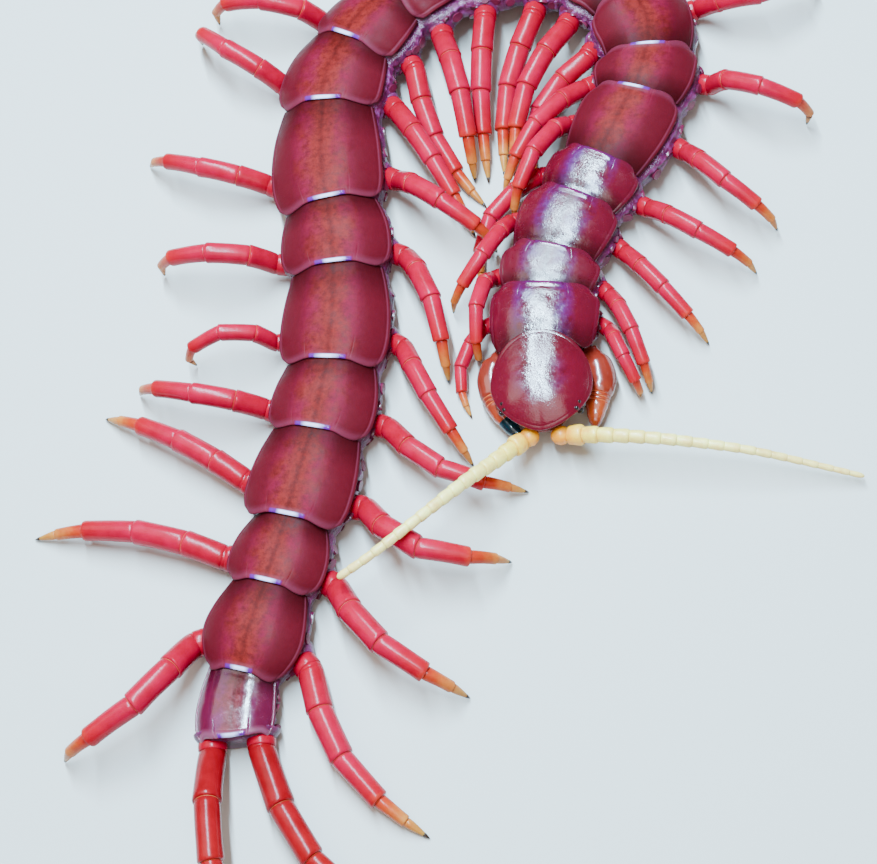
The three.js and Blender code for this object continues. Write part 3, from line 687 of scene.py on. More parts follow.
def plate_share(index, along, side):
    """Where a spot of the flat plate lies along its segment: lip and front strip keep their size,
    the rear corners draw in, and the first and last plates have outlines of their own."""
    length = SEGMENTS[index][LENGTH]
    front = FRONT_GAP
    rear = length + REAR_OVERLAP + 0.3 * smooth((side - 0.4) / 0.3)
    rear -= 1.2 * (max(side - 0.80, 0) / 0.2) ** 2
    if index == 0:
        front -= 0.8 + 1.0 * smooth((side - 0.5) / 0.3) - 1.8 * max(side - 0.86, 0) / 0.14
    if index == LAST:
        rear = length + 0.1 - 0.8 * side ** 2
        rear += 0.5 * smooth((side - 0.78) / 0.12) - 0.9 * max(side - 0.93, 0) / 0.07
    if along <= STRIP_TO:
        reach = front + FRONT_STRIP * along / STRIP_TO
    elif along >= LIP_FROM:
        reach = rear - LIP_DEPTH * (1 - along) / (1 - LIP_FROM)
    else:
        first, last = front + FRONT_STRIP, rear - LIP_DEPTH
        reach = first + (last - first) * (along - STRIP_TO) / (LIP_FROM - STRIP_TO)
    return reach / length


def plate_spot(index, across, along, relief):
    side = abs(across)
    share = plate_share(index, along, side)
    half = SEGMENTS[index][WIDTH] / 2 * plate_width(index, min(max(share, 0), 1))
    height = body_height(index, share)
    rise = height - plate_sink(index, share) - DOME * height * side ** 2.9 + relief
    spot = Vector((across * half, share * SEGMENTS[index][LENGTH] + index * 17.0, 0)) * 0.45
    rise += 0.05 * noise.noise(spot) + 0.02 * noise.noise(spot * 3.1)
    return on_body(index, share, across * half, rise)


def back_plates():
    model = plate_model()
    across, along, relief = (marks(model, name) for name in ("across", "along", "relief"))
    for index in range(len(SEGMENTS)):
        plate = copy_of(model, f"back_plate_{index + 1:02d}")
        height = TAIL_RELIEF if index == LAST else 1
        lay(plate, [plate_spot(index, u, v, w * height) for u, v, w in zip(across, along, relief)])
        apply_modifier(plate, "SOLIDIFY", thickness=PLATE_THICKNESS * MM, offset=-1)
        apply_modifier(plate, "SUBSURF", levels=1, render_levels=1)
        mark(plate, "dulled", [DULLED.get(index + 1, 0.0)] * len(plate.data.vertices))
        horn = FRONT_HORN if index < FRONT_PLATES else BACK_HORN
        plate.data.materials.append(TAIL_HORN if index == LAST else horn)
        finish_piece(plate, "trunk_plates")
    discard(model)


# Belly plates

BELLY_GROOVE_DIP = 0.09
BELLY_THICKNESS = 0.2


def belly_spot(index, across, along, relief):
    length, width = SEGMENTS[index][LENGTH], SEGMENTS[index][WIDTH]
    last = index == LAST
    half = width / 2 * BELLY_HALF * (1.1 if last else 1.3)
    half *= along_points([(0, 0.86), (0.25, 1.0), (0.75, 1.0), (1, 0.55 if last else 0.84)], along)
    side = abs(across)
    rise = 0.05 + 0.42 * side ** 6
    rise += 0.3 * max(0.12 - along, 0) / 0.12 + 0.3 * max(along - 0.9, 0) / 0.1
    return on_body(index, (0.25 + (length - 0.5) * along) / length, across * half, rise - relief)


def belly_plates():
    """Flat plates with the two long grooves of their kind, facing the floor."""
    model = flat_sheet("belly_model", 16, 12)
    for side in (1, -1):
        cut(model, (side, 0, 0), (0.48, 0.5, 0.52))
    shift(model, lambda x, y, z: 0.49 < abs(x) < 0.51 and 0.05 < y < 0.95,
          (0, 0, -BELLY_GROOVE_DIP))
    spots = [tuple(vertex.co) for vertex in model.data.vertices]
    for index in range(len(SEGMENTS)):
        plate = copy_of(model, f"belly_plate_{index + 1:02d}")
        lay(plate, [belly_spot(index, *spot) for spot in spots])
        apply_modifier(plate, "SOLIDIFY", thickness=BELLY_THICKNESS * MM, offset=1)
        plate.data.materials.append(BELLY_HORN)
        finish_piece(plate, "trunk_plates")
    discard(model)


# Skin of the trunk, and the little plates and air holes set in it

SKIN_AROUND = 72
SKIN_PER_SEGMENT = 16
FLANK_PINCH = [(0, 0.95), (0.12, 0.6), (0.32, 0.08), (0.5, 0), (0.75, 0.02), (0.9, 0.5), (1, 0.95)]


def skin_spot(index, share, around):
    """Place of the skin, and how far its wrinkles bulge out, which sets its painted light and
    shade.
    Around runs from the belly up the left side and down the right."""
    half, height = between(WIDTH, index, share) / 2, body_height(index, share)
    left = around < 0.5
    climb = around * 2 if left else 2 - around * 2
    swell = between(SWELL_LEFT if left else SWELL_RIGHT, index, share)
    pinch = along_points(FLANK_PINCH, share)
    flank = half - 0.4 + swell - pinch
    belly = 0.22 + 0.3 * pinch
    plate = half * plate_width(index, share)
    sink = along_points(PLATE_SINK, share)
    across, rise = curve_through([
        (0, belly), (half * BELLY_HALF, belly), (half * BELLY_HALF + 0.8, belly + 0.45),
        (flank - 0.5, height * 0.23), (flank, height * 0.4), (flank - 0.1, height * 0.53),
        (plate * 0.9, height * 0.62 - sink * 0.5), (plate * 0.6, height - 1.2 - sink),
        (0, height - 0.6 - sink)], climb)
    band = smooth((climb - 0.25) / 0.12) * (1 - smooth((climb - 0.62) / 0.1))
    pleat = math.sin(share * 2 * math.pi * 6 + math.sin(climb * 9) * 1.6 + index * 2.1)
    crease = math.sin(climb * 2 * math.pi * 9 + math.sin(share * 5 + index) * 1.3)
    fold = 0.10 * pleat + 0.07 * crease
    fold += 0.12 * noise.noise(Vector((share * 5 + index * 7, climb * 14, 3 if left else 9)))
    across += band * fold
    return on_body(index, share, across if left else -across, rise), 0.5 + band * fold * 2.2


def trunk_skin():
    rows = len(SEGMENTS) * SKIN_PER_SEGMENT
    skin = start(bpy.ops.mesh.primitive_grid_add, "flank_skin",
                 x_subdivisions=SKIN_AROUND, y_subdivisions=rows, size=1)
    spots = []
    for vertex in skin.data.vertices:
        place = (vertex.co.y + 0.5) * len(SEGMENTS)
        index = min(int(place), LAST)
        share = min(max(place - index, 0.02), 0.97 if index == LAST else 1)
        spots.append(skin_spot(index, share, (vertex.co.x + 0.5) % 1.0))
    # The swell mark gives the skin its painted light and shade: paler on bulges, darker in creases
    mark(skin, "swell", [swell for _, swell in spots])
    lay(skin, [spot for spot, _ in spots])
    edit(skin)
    bpy.ops.mesh.remove_doubles(threshold=0.002 * MM)
    bpy.ops.mesh.select_all(action="DESELECT")
    bpy.ops.mesh.select_non_manifold()
    bpy.ops.mesh.fill_holes(sides=0)
    leave()
    skin.data.materials.append(FLANK_SKIN)
    trunk = [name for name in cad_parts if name.startswith("trunk_")]
    finish_piece(skin, "trunk_plates", *trunk, angle=180)


# Little flank plates: share of the segment, climb up the side, length and height in millimetres
FLANK_PLATES = [
    (0.20, 0.50, 1.5, 1.1), (0.45, 0.56, 1.4, 0.9), (0.80, 0.52, 1.6, 1.1), (0.86, 0.40, 1.2, 0.8)]
AIR_HOLE = (0.62, 0.60, 0.9, 0.5)
AIR_HOLE_SEGMENTS = (3, 5, 8, 10, 12, 14, 16, 18, 20)
FLANK_PLATE_SIDES = 14
FLANK_PLATE_RINGS = [(-0.2, 1.0), (0.10, 1.0), (0.17, 0.94), (0.20, 0.8), (0.24, 0.3)]
AIR_HOLE_RINGS = [(-0.2, 1.0), (0.24, 1.0), (0.30, 0.86), (0.26, 0.7), (-0.02, 0.5)]


def on_flank(index, side, share, climb):
    around = climb / 2 if side > 0 else 1 - climb / 2
    return skin_spot(index, share, around)[0]


def flank_plates():
    """Small horny plates in the soft flank, and the rimmed air holes of every other segment."""
    scale = turned("flank_plate_model", FLANK_PLATE_SIDES, FLANK_PLATE_RINGS)
    hole = turned("air_hole_model", FLANK_PLATE_SIDES, AIR_HOLE_RINGS)
    pieces = []
    for side_name, side in SIDES:
        for index in range(len(SEGMENTS)):
            rows = [(scale, *row) for row in FLANK_PLATES]
            if index + 1 in AIR_HOLE_SEGMENTS:
                rows.append((hole, *AIR_HOLE))
            for model, share, climb, length, height in rows:
                middle = on_flank(index, side, share, climb)
                along = (on_flank(index, side, share + 0.04, climb) - middle).normalized()
                rise = (on_flank(index, side, share, climb + 0.02) - middle).normalized()
                out = (along.cross(rise) * -side).normalized()
                piece = copy_of(model, f"flank_plate_{side_name}_{index}")
                along *= length / 2
                rise *= height / 2
                lay(piece, [middle + along * v.co.x + rise * v.co.y + out * v.co.z
                            for v in piece.data.vertices])
                piece.data.materials.append(FLANK_HORN)
                pieces.append(piece)
    finish_piece(join(pieces, "flank_plates"), "trunk_plates")
    discard(scale)
    discard(hole)


# Legs

# Rings of one article: share of its length, and radius against the article's own. It stands off
# its neighbours by a hair, so that the joint's soft skin shows as a thin line
ARTICLE = [
    (0.006, 0.93), (0.018, 0.97), (0.08, 0.985), (0.28, 0.985), (0.5, 0.98), (0.72, 0.985),
    (0.86, 1.0), (0.93, 1.015), (0.968, 1.01), (0.986, 0.975), (0.994, 0.93)]
LAST_ARTICLE = [
    (0.014, 0.80), (0.04, 0.96), (0.2, 0.97), (0.4, 0.88), (0.58, 0.74), (0.70, 0.62), (0.76, 0.48),
    (0.78, 0.3)]
CLAW = [(0.72, 0.30), (0.75, 0.42), (0.82, 0.36), (0.90, 0.24), (0.96, 0.12), (1.0, 0.03)]
JOINT_RING = [(-0.02, 0.4), (-0.012, 0.90), (0.0, 0.945), (0.012, 0.91), (0.02, 0.4)]

# The knuckle between hip and leg, and how each article widens along its length
HIP_JOINT = [(-0.15, 0.3), (-0.13, 0.70), (-0.08, 0.88), (-0.02, 0.93), (0.012, 0.92), (0.03, 0.4)]
ARTICLE_TAPER = ((0.98, 1.0), (1.0, 0.98), (1.02, 0.92), (1.0, 0.80), (1.0, 0.62))
KNEE_REACH = 0.16
CLAW_DROOP = 0.4
ARTICLE_ARCH = 0.03
LIMB_SIDES, CLAW_SIDES = 20, 12

# How often a leg's slope and bend are narrowed down between their limits, in degrees
HALVINGS = 30
SLOPE_LIMITS = (-60.0, 89.0)
BEND_LIMITS = (0.0, 45.0)


def leg_model():
    """One straight leg: article k lies from z = k to k + 1, its radius at 1, its top towards +Y."""
    pieces = []
    for k, (first, last) in enumerate(ARTICLE_TAPER):
        rings = LAST_ARTICLE if k == 4 else ARTICLE
        rings = [(z, r * (first + (last - first) * z)) for z, r in rings]
        article = turned(f"article_{k}", LIMB_SIDES, rings)
        if k < 3:
            shift(article, lambda x, y, z: y > 0.75 and 0.83 < z < 0.97, (0, 0.04, 0))
        pieces.append((article, k, 0))
        joint = turned(f"joint_{k}", LIMB_SIDES, JOINT_RING if k else HIP_JOINT)
        pieces.append((joint, k, 1 if k else 0))
    claw = turned("claw", CLAW_SIDES, CLAW)
    for z, _ in CLAW[2:]:
        droop = -CLAW_DROOP * (z - 0.72) ** 2
        shift(claw, lambda x, y, height, z=z: abs(height - z) < 0.001, (0, droop, 0))
    pieces.append((claw, 4, 2))
    for piece, k, finish in pieces:
        for material in LIMB_FINISHES:
            piece.data.materials.append(material)
        for face in piece.data.polygons:
            face.material_index = finish
        for vertex in piece.data.vertices:
            vertex.co.z += k
        mark(piece, "article", [k] * len(piece.data.vertices))
    return join([piece for piece, _, _ in pieces], "leg_model")


def leg_joints(start_at, foot, lengths, bow):
    """The same chain of joints as the solids have: it rises from the hip and bends down a little
    more at each knee until its end is at the foot."""
    drop = foot.z - start_at.z
    reach = math.hypot(foot.x - start_at.x, foot.y - start_at.y)
    yaws = [math.radians(bow * share) for share in BOW_SHARES]

    def walk(slope, bend):
        joints = [Vector((0, 0, 0))]
        for k, (length, yaw) in enumerate(zip(lengths, yaws)):
            rise = math.radians(slope - bend * k)
            level = math.cos(rise)
            step = Vector((level * math.cos(yaw), level * math.sin(yaw), math.sin(rise)))
            joints.append(joints[-1] + step * length)
        return joints

    def height(slope, bend):
        return sum(
            length * math.sin(math.radians(slope - bend * k)) for k, length in enumerate(lengths))

    def slope_for(bend):
        low, high = SLOPE_LIMITS
        for _ in range(HALVINGS):
            middle = (low + high) / 2
            low, high = (middle, high) if height(middle, bend) < drop else (low, middle)
        return (low + high) / 2

    low, high = BEND_LIMITS
    for _ in range(HALVINGS):
        bend = (low + high) / 2
        end = walk(slope_for(bend), bend)[-1]
        low, high = (bend, high) if math.hypot(end.x, end.y) > reach else (low, bend)
    bend = (low + high) / 2
    joints = walk(slope_for(bend), bend)
    end = joints[-1]
    turn = math.atan2(foot.y - start_at.y, foot.x - start_at.x) - math.atan2(end.y, end.x)
    return [Matrix.Rotation(turn, 3, "Z") @ joint + start_at for joint in joints]


def walking_leg(index, side):
    reach, swing, bow, shortened = (*(LEFT_FEET if side > 0 else RIGHT_FEET)[index], 1)[:4]
    width = SEGMENTS[index][WIDTH]
    _, back, _, _, level = body_frame(index, LEG_ROOT_AT)
    swell = between(SWELL_LEFT if side > 0 else SWELL_RIGHT, index, LEG_ROOT_AT)
    out = width / 2 - LEG_ROOT_INSET + swell
    root = on_body(index, LEG_ROOT_AT, side * out, width * HEIGHT_TO_WIDTH * LEG_ROOT_HEIGHT)

    def heading(swung):
        return level * side * math.cos(math.radians(swung)) + back * math.sin(math.radians(swung))

    foot = root + heading(swing) * reach
    foot.z = FOOT_HEIGHT
    hip_swing = min(max(swing, -HIP_MOST_SWING), HIP_MOST_SWING)
    way = (heading(hip_swing) + UP * math.tan(math.radians(HIP_RISE))).normalized()
    hip_end = root + way * (HIP_REACH / math.cos(math.radians(hip_swing)))
    scale = LEG_SCALE[index] * shortened
    thickness = min(max(scale, LEG_THICKNESS[0]), LEG_THICKNESS[1])
    lengths = [length * scale for length in LEG_LENGTHS]
    joints = leg_joints(hip_end + way * JOINT_GAP, foot, lengths, bow)
    return root, way, hip_end, joints, [radius * thickness for radius in LEG_RADII]


def last_leg(side):
    reach, spread, bow = LAST_FEET[side]
    _, back, _, _, level = body_frame(LAST, LAST_ROOT["at"])
    root = on_body(LAST, LAST_ROOT["at"], side * LAST_ROOT["out"], LAST_ROOT["height"])
    angle = math.radians(spread)
    foot = root + (back * math.cos(angle) + level * side * math.sin(angle)) * reach
    foot.z = FOOT_HEIGHT
    hip_end = root + back * LAST_ROOT["hip"]
    joints = leg_joints(hip_end + back * JOINT_GAP, foot, LAST_LENGTHS, side * bow)
    return root, back, hip_end, joints, list(LAST_RADII)


def pose_leg(model, name, hip_way, joints, radii):
    """Lays the straight leg along its joints. Near a knee its rings turn half way to the next
    article, so that the two meet face to face."""
    leg = copy_of(model, name)
    steps = [b - a for a, b in zip(joints, joints[1:])]
    lengths = [step.length for step in steps]
    ways = [step.normalized() for step in steps]
    before = [hip_way, *ways[:-1]]
    after = [*ways[1:], ways[-1]]
    gone = [sum(lengths[:k]) for k in range(5)]
    spots, reaches = [], []
    for vertex, k in zip(leg.data.vertices, marks(leg, "article")):
        k = int(k)
        share = vertex.co.z - k
        if share < 0.5:
            way = ways[k] + before[k] * smooth(1 - share / KNEE_REACH)
        else:
            way = ways[k] + after[k] * smooth(1 - (1 - share) / KNEE_REACH)
        side, top = limb_axes(way.normalized())
        arch = ARTICLE_ARCH * lengths[k] * math.sin(math.pi * min(max(share, 0), 1)) if k < 4 else 0
        spot = joints[k] + ways[k] * (share * lengths[k]) + top * arch
        spot = spot + side * (vertex.co.x * radii[k]) + top * (vertex.co.y * radii[k])
        spot.z = max(spot.z, 0.0)
        spots.append(spot)
        reaches.append((gone[k] + share * lengths[k]) / sum(lengths))
    mark(leg, "reach", reaches)
    lay(leg, spots)
    return leg


HIP_SKIN = [(0.0, 1.50), (0.15, 1.46), (0.3, 1.30), (0.42, 1.18), (0.47, 1.10)]
HIP_COLLAR = [
    (0.44, 0.9), (0.47, 1.08), (0.58, 1.15), (0.8, 1.15), (0.94, 1.14), (0.985, 1.11), (1.0, 1.04)]


def hip_model():
    """The hip: a ring of soft skin round the root, and a short horny collar that holds the leg."""
    skin = turned("hip_skin", LIMB_SIDES, HIP_SKIN)
    collar = turned("hip_collar", LIMB_SIDES, HIP_COLLAR)
    for piece, finish in ((skin, 0), (collar, 1)):
        piece.data.materials.append(FLANK_SKIN)
        piece.data.materials.append(LEG_HORN)
        for face in piece.data.polygons:
            face.material_index = finish
        mark(piece, "reach", [0.03] * len(piece.data.vertices))
        # The swell mark sets the painted light and shade of the hip skin, paler at its root
        mark(piece, "swell", [0.75 - 0.3 * vertex.co.z for vertex in piece.data.vertices])
    return join([skin, collar], "hip_model")


def pose_hip(model, name, root, way, end, radius):
    hip = copy_of(model, name)
    side, top = limb_axes(way)
    length = (end - root).length
    spots = []
    for vertex in hip.data.vertices:
        reach = -0.7 + vertex.co.z * (length + 0.8)
        spot = root + way * reach + (side * vertex.co.x + top * vertex.co.y) * radius * 0.88
        spot.z = max(spot.z, 0.1)
        spots.append(spot)
    lay(hip, spots)
    return hip


def legs():
    leg_shape, hip_shape = leg_model(), hip_model()
    for side_name, side in SIDES:
        for index in range(len(SEGMENTS)):
            label = f"{side_name}_{index + 1:02d}"
            last = index == LAST
            root, way, end, joints, radii = last_leg(side) if last else walking_leg(index, side)
            leg = pose_leg(leg_shape, f"walking_leg_{label}", way, joints, radii)
            if last:
                leg.data.materials[0] = LAST_LEG_HORN
            finish_piece(leg, "last_leg_horn" if last else "leg_horn", f"leg_{label}", angle=50)
            hip = pose_hip(hip_shape, f"hip_{label}", root, way, end, radii[0])
            finish_piece(hip, "leg_horn")
    discard(leg_shape)
    discard(hip_shape)


# Feelers

# Each feeler: its number of beads, the radius of its tip and the route that it follows
FEELERS = {
    "left": (19, 0.34, [
        (14.75, -3.25, 3.7), (19.3, -4.1, 4.9), (24.9, -4.9, 5.0), (30.5, -5.8, 4.6),
        (35.9, -6.8, 4.0), (41.4, -8.0, 2.8), (48.5, -9.7, 1.2)]),
    "right": (17, 0.5, [
        (11.15, -3.2, 3.7), (9.3, -4.9, 4.7), (6.8, -7.3, 5.8), (4.2, -9.7, 7.0),
        (-1.7, -14.9, 8.2), (-6.4, -18.4, 8.0), (-10.3, -20.6, 7.2)]),
}
BEAD_SIDES = 18
FEELER_ROOT_RADIUS = 1.22
SOCKET_RADIUS = 1.15
BEAD = [
    (0.0, 0.5), (0.01, 0.84), (0.05, 0.90), (0.18, 0.92), (0.42, 0.96), (0.62, 0.99), (0.78, 1.0),
    (0.90, 0.97), (0.97, 0.90), (1.0, 0.84), (1.01, 0.5)]
TIP_BEAD = [
    (0.0, 0.5), (0.02, 0.86), (0.2, 0.95), (0.5, 0.98), (0.75, 0.86), (0.9, 0.6), (0.97, 0.32),
    (1.0, 0.05)]
SOCKET = [
    (-1.0, 0.15), (-0.85, 0.55), (-0.5, 0.87), (0.0, 1.0), (0.45, 0.9), (0.8, 0.6), (0.95, 0.3)]


def feeler(side_name):
    """A chain of beads on the feeler's route, from a round socket at the front of the head."""
    articles, tip_radius, points = FEELERS[side_name]
    route = measured_route(points)
    length = route[1][-1]
    bead, tip = turned("bead", BEAD_SIDES, BEAD), turned("tip_bead", BEAD_SIDES, TIP_BEAD)
    socket = turned("socket", BEAD_SIDES, SOCKET)
    beads = [(socket, 0.0, SOCKET_RADIUS, SOCKET_RADIUS)]
    step = (length - SOCKET_RADIUS) / articles
    for k in range(articles):
        taper = (tip_radius - FEELER_ROOT_RADIUS) * math.sqrt(k / (articles - 1))
        model = tip if k == articles - 1 else bead
        beads.append((model, SOCKET_RADIUS * 0.92 + step * k, FEELER_ROOT_RADIUS + taper, step))
    pieces = []
    for number, (model, begins, radius, reach) in enumerate(beads):
        piece = copy_of(model, f"bead_{number}")
        spots, reaches = [], []
        for vertex in piece.data.vertices:
            distance = begins + vertex.co.z * reach
            spot, way = at_distance(route, distance)
            side, top = limb_axes(way)
            spots.append(spot + (side * vertex.co.x + top * vertex.co.y) * radius)
            reaches.append(distance / length)
        mark(piece, "reach", reaches)
        lay(piece, spots)
        piece.data.materials.append(FEELER_HORN)
        pieces.append(piece)
    for model in (bead, tip, socket):
        discard(model)
    finish_piece(join(pieces, f"beaded_feeler_{side_name}"), "feeler_horn", f"feeler_{side_name}")


# Head

HEAD_MIDDLE = 5.8
HEAD_HALF_LENGTH = 5.85
HEAD_HALF_WIDTH = 5.75
HEAD_TOP = 7.75
HEAD_THICKNESS = 0.3
HEAD_RIM_RISE = 0.02
HEAD_GROOVE_DIP = 0.03
HEAD_RINGS = (
    0.985, 0.96, 0.94, 0.925, 0.91, 0.88, 0.82, 0.74, 0.65, 0.55, 0.45, 0.35, 0.25, 0.15, 0.06)


def head_spot(x, y, relief):
    """The plate over the head is nearly round and domed; y runs to its front edge at 1."""
    ahead, behind = max(y, 0), max(-y, 0)
    half = HEAD_HALF_WIDTH * (1 - 0.14 * ahead ** 2.2)
    rise = HEAD_TOP - 0.12 * ahead - 2.5 * abs(x) ** 2.8 * (1 - 0.25 * behind)
    rise -= 2.2 * ahead ** 2.6 + 0.10 * behind ** 3
    rise -= 0.07 * hump(x, 0, 0.03) * smooth((y - 0.5) / 0.3)
    place = Vector((x * HEAD_HALF_WIDTH, y * HEAD_HALF_LENGTH, 0)) * 0.5
    rise += relief + 0.05 * noise.noise(place) + 0.02 * noise.noise(place * 3)
    return on_head(HEAD_MIDDLE + y * HEAD_HALF_LENGTH, x * half, rise)


def head_plate():
    """A round sheet drawn inwards ring by ring, with a raised rim and a groove inside it."""
    plate = start(bpy.ops.mesh.primitive_circle_add, "head_plate",
                  vertices=72, radius=1, fill_type="NGON")
    edit(plate)
    reach = 1.0
    for nearer in HEAD_RINGS:
        ratio = nearer / reach
        bpy.ops.mesh.inset(thickness=0.00001, use_even_offset=False)
        bpy.ops.transform.resize(value=(ratio, ratio, 1), center_override=(0, 0, 0))
        reach = nearer
    bpy.ops.mesh.poke()
    leave()
    shift(plate, lambda x, y, z: math.hypot(x, y) > 0.95, (0, 0, HEAD_RIM_RISE))
    shift(plate, lambda x, y, z: 0.92 < math.hypot(x, y) < 0.93, (0, 0, -HEAD_GROOVE_DIP))
    spots = [tuple(vertex.co) for vertex in plate.data.vertices]
    mark(plate, "across", [math.hypot(x, y) for x, y, _ in spots])
    mark(plate, "along", [0.5 + 0.3 * y for _, y, _ in spots])
    lay(plate, [head_spot(*spot) for spot in spots])
    apply_modifier(plate, "SOLIDIFY", thickness=HEAD_THICKNESS * MM, offset=-1)
    apply_modifier(plate, "SUBSURF", levels=1, render_levels=1)
    plate.data.materials.append(HEAD_HORN)
    finish_piece(plate, "head_horn", "head")


UNDERSIDE_HALF_LENGTH = 5.45
UNDERSIDE_HALF_WIDTH = 5.3


def head_underside():
    """The rounded underpart of the head, with the upper lip at its front between the feelers.
    Behind, it swells out to the width of the plate above."""
    body = start(bpy.ops.mesh.primitive_uv_sphere_add, "head_underside",
                 segments=40, ring_count=24, radius=1)
    spots = []
    for vertex in body.data.vertices:
        x, y, z = vertex.co
        ahead, behind = max(y, 0), max(-y, 0)
        half = UNDERSIDE_HALF_WIDTH * (1 - 0.16 * ahead) * (1 + 0.36 * behind ** 2)
        top = 6.6 - 1.9 * ahead ** 2
        low = 4.5 - 1.3 * ahead
        rise = (top + low) / 2 + z * (top - low) / 2 * (1 if z > 0 else 1.05)
        spots.append(on_head(HEAD_MIDDLE + UNDERSIDE_HALF_LENGTH * y, x * half, rise))
    lay(body, spots)
    body.data.materials.append(JAW_PLATE_HORN)
    finish_piece(body, "head_horn", angle=180)


# The group's place on the head (forward, out, up) and how far its lenses stand out from there
EYE_PLACE = (8.9, 4.35, 5.75)
EYE_OUT = 0.25
EYE_SIDES = 20
EYE_SPOTS = [(0.40, 0.40), (-0.42, 0.36), (0.35, -0.42), (-0.40, -0.40)]
EYE_DOME = [(-0.4, 0.28), (0.0, 0.28), (0.07, 0.25), (0.13, 0.19), (0.16, 0.11), (0.17, 0.03)]
EYE_RIM = [(-0.4, 0.38), (-0.04, 0.38), (0.02, 0.36), (0.03, 0.32), (0.0, 0.29)]


def eyes(side_name, side):
    """Four low lenses, each sunk in a ring of horn, on the front corner of the head."""
    forward, left, height = EYE_PLACE
    way = (HEAD_LEFT * side * 0.8 + HEAD_FORWARD * 0.35 + UP * 0.55).normalized()
    along = HEAD_FORWARD.cross(way).normalized()
    other = way.cross(along).normalized()
    middle = on_head(forward, side * left, height) + way * EYE_OUT
    pieces = []
    for a, b in EYE_SPOTS:
        for profile, material in ((EYE_DOME, EYE_LENS), (EYE_RIM, EYE_RIM_HORN)):
            piece = turned("lens", EYE_SIDES, profile)
            lay(piece, [middle + way * v.co.z + along * (a + v.co.x) + other * (b + v.co.y)
                        for v in piece.data.vertices])
            piece.data.materials.append(material)
            pieces.append(piece)
    finish_piece(join(pieces, f"eye_group_{side_name}"), "eye", f"eye_{side_name}")


# Poison jaws

# Each jaw: points that it passes, its girth along its length, its three rings and where its claw
# starts. The left jaw is held open and its claw points down, out of sight.
JAWS = {
    "left": ([(0.2, 5.0, 2.5), (1.3, 5.5, 2.4), (2.6, 6.25, 2.4), (4.3, 6.5, 2.35), (6.2, 6.2, 2.2),
              (7.9, 5.98, 2.0), (9.8, 5.92, 1.8)],
             [(0, 1.2), (0.12, 1.5), (0.25, 1.82), (0.40, 1.9), (0.52, 1.72), (0.62, 1.48),
              (0.72, 1.34), (0.84, 1.05), (0.93, 0.74), (0.98, 0.42), (1.0, 0.08)],
             (0.60, 0.645, 0.69), 1.1),
    "right": ([(0.2, 4.9, 2.5), (1.3, 5.35, 2.45), (2.9, 6.1, 2.4), (5.4, 5.95, 2.35),
               (8.0, 4.9, 2.2), (10.0, 3.4, 1.9), (11.2, 1.9, 1.7)],
              [(0, 1.15), (0.08, 1.45), (0.18, 1.75), (0.30, 1.85), (0.42, 1.7), (0.52, 1.5),
               (0.66, 1.24), (0.72, 1.0), (0.80, 0.92), (0.90, 0.62), (0.97, 0.26), (1.0, 0.05)],
              (0.47, 0.505, 0.54), 0.72),
}
JAW_SIDES, JAW_STEPS = 28, 60
JAW_GROOVE = 0.12
# Half widths of a ring's groove and of the skin in it, as shares of the jaw's length
JAW_GROOVE_HALF, JAW_SKIN_HALF = 0.007, 0.004


def poison_jaw(side_name, side):
    """A stout horny thigh, narrow rings and a claw."""
    points, girth, rings, claw_from = JAWS[side_name]
    route = measured_route([
        tuple(on_head(forward, side * out, height)) for forward, out, height in points])
    length = route[1][-1]
    heights = [k / JAW_STEPS for k in range(JAW_STEPS + 1)]
    for ring in rings:
        heights += [ring + step for step in (-0.010, -0.005, 0, 0.005, 0.010)]
    profile = []
    for height in sorted(set(heights)):
        groove = sum(JAW_GROOVE * hump(height, ring, JAW_GROOVE_HALF) for ring in rings)
        profile.append((height, along_points(girth, height) - groove))
    jaw = turned(f"curved_jaw_{side_name}", JAW_SIDES, profile)
    spots, reaches = [], []
    for vertex in jaw.data.vertices:
        spot, way = at_distance(route, vertex.co.z * length)
        across, top = limb_axes(way)
        spots.append(spot + across * vertex.co.x + top * vertex.co.y * 0.95)
        reaches.append(vertex.co.z)
    mark(jaw, "reach", reaches)
    lay(jaw, spots)
    for finish in (JAW_HORN, JOINT_SKIN, JAW_CLAW):
        jaw.data.materials.append(finish)
    for face in jaw.data.polygons:
        place = sum(reaches[k] for k in face.vertices) / len(face.vertices)
        if any(abs(place - ring) < JAW_SKIN_HALF for ring in rings):
            face.material_index = 1
        elif place > claw_from:
            face.material_index = 2
    finish_piece(jaw, "jaw_horn", f"poison_jaw_{side_name}")


def jaw_carrier():
    """The plate under the head that carries the jaws, with a groove down its middle."""
    plate = start(bpy.ops.mesh.primitive_cube_add, "jaw_carrier", size=2)
    edit(plate)
    bpy.ops.mesh.subdivide(number_cuts=7)
    leave()
    shift(plate, lambda x, y, z: abs(x) < 0.1 and z < -0.9, (0, 0, 0.14))
    spots = []
    for vertex in plate.data.vertices:
        x, y, z = vertex.co
        round_x = x * math.sqrt(1 - y * y / 2.6)
        forward = 3.5 + 3.4 * y * math.sqrt(1 - x * x / 4)
        half = 3.9 - 0.9 * max(y, 0)
        rise = 2.35 + 1.8 * z * math.sqrt(1 - x * x / 2.2)
        spots.append(on_head(forward, round_x * half, max(rise, 0.45)))
    lay(plate, spots)
    apply_modifier(plate, "SUBSURF", levels=2, render_levels=2)
    plate.data.materials.append(JAW_PLATE_HORN)
    finish_piece(plate, "jaw_horn", "jaw_plate", angle=180)


# Floor, light and camera

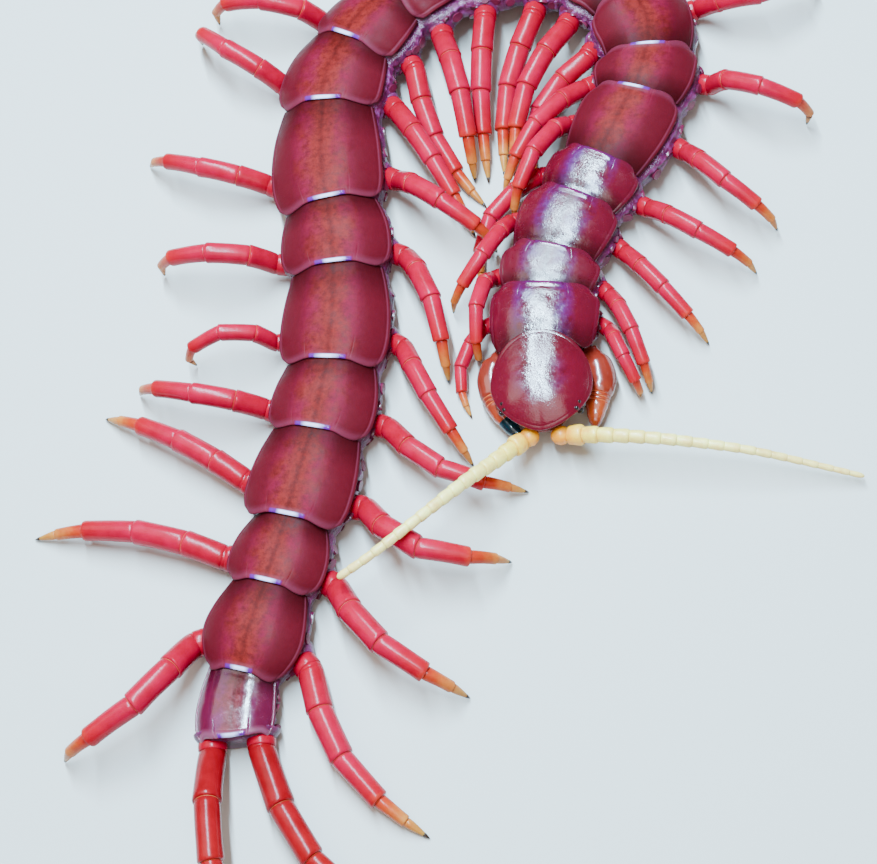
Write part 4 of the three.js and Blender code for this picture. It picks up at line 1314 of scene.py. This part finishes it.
def floor():
    ground = start(bpy.ops.mesh.primitive_plane_add, "studio_floor", size=3)
    paper = new_material("studio_paper", Base_Color=linear("#c6c3bd"), Roughness=0.85)[0]
    ground.data.materials.append(paper)


def softbox(name, place, size, power, colour=WHITE):
    """A rectangular lamp at a place in the layout, turned to the animal."""
    data = bpy.data.lights.new(name, "AREA")
    data.shape = "RECTANGLE"
    data.size, data.size_y = size[0] * MM, size[1] * MM
    data.energy = power
    data.color = linear(colour)[:3]
    lamp = bpy.data.objects.new(name, data)
    bpy.context.scene.collection.objects.link(lamp)
    lamp.location = (Vector(place) + LAYOUT_SHIFT) * MM
    lamp.rotation_euler = (-lamp.location).to_track_quat("-Z", "Y").to_euler()


CAMERA_TILT = Vector((0.16, -0.48, 1)).normalized()
CAMERA_DISTANCE = 240
FOCAL_PIXELS = 2040
PHOTO_WIDTH = 877


def camera():
    data = bpy.data.cameras.new("camera")
    data.sensor_fit = "HORIZONTAL"
    data.angle = 2 * math.atan(PHOTO_WIDTH / 2 / FOCAL_PIXELS)
    data.clip_start = 0.01
    eye = bpy.data.objects.new("camera", data)
    bpy.context.scene.collection.objects.link(eye)
    way = -CAMERA_TILT
    top = (Vector((0, 1, 0)) - way * way.y).normalized()
    turn = Matrix((way.cross(top), top, -way)).transposed()
    place = (CAMERA_TILT * CAMERA_DISTANCE + LAYOUT_SHIFT) * MM
    eye.matrix_world = Matrix.Translation(place) @ turn.to_4x4()
    bpy.context.scene.camera = eye


def studio():
    floor()
    softbox("sky_strip", (-14, 80, 300), (13, 310), 6.4, "#bce4ff")
    softbox("left_key", (-190, 60, 260), (200, 200), 0.4, "#fff8f0")
    softbox("front_fill", (40, -130, 260), (230, 230), 0.5, "#fff8f0")
    world = bpy.data.worlds.new("studio")
    bpy.context.scene.world = world
    world.use_nodes = True
    background = world.node_tree.nodes["Background"]
    background.inputs["Color"].default_value = linear("#dfe4ea")
    background.inputs["Strength"].default_value = 0.15


back_plates()
belly_plates()
trunk_skin()
flank_plates()
legs()
for side_name, side in SIDES:
    feeler(side_name)
    eyes(side_name, side)
    poison_jaw(side_name, side)
head_plate()
head_underside()
jaw_carrier()
studio()
camera()
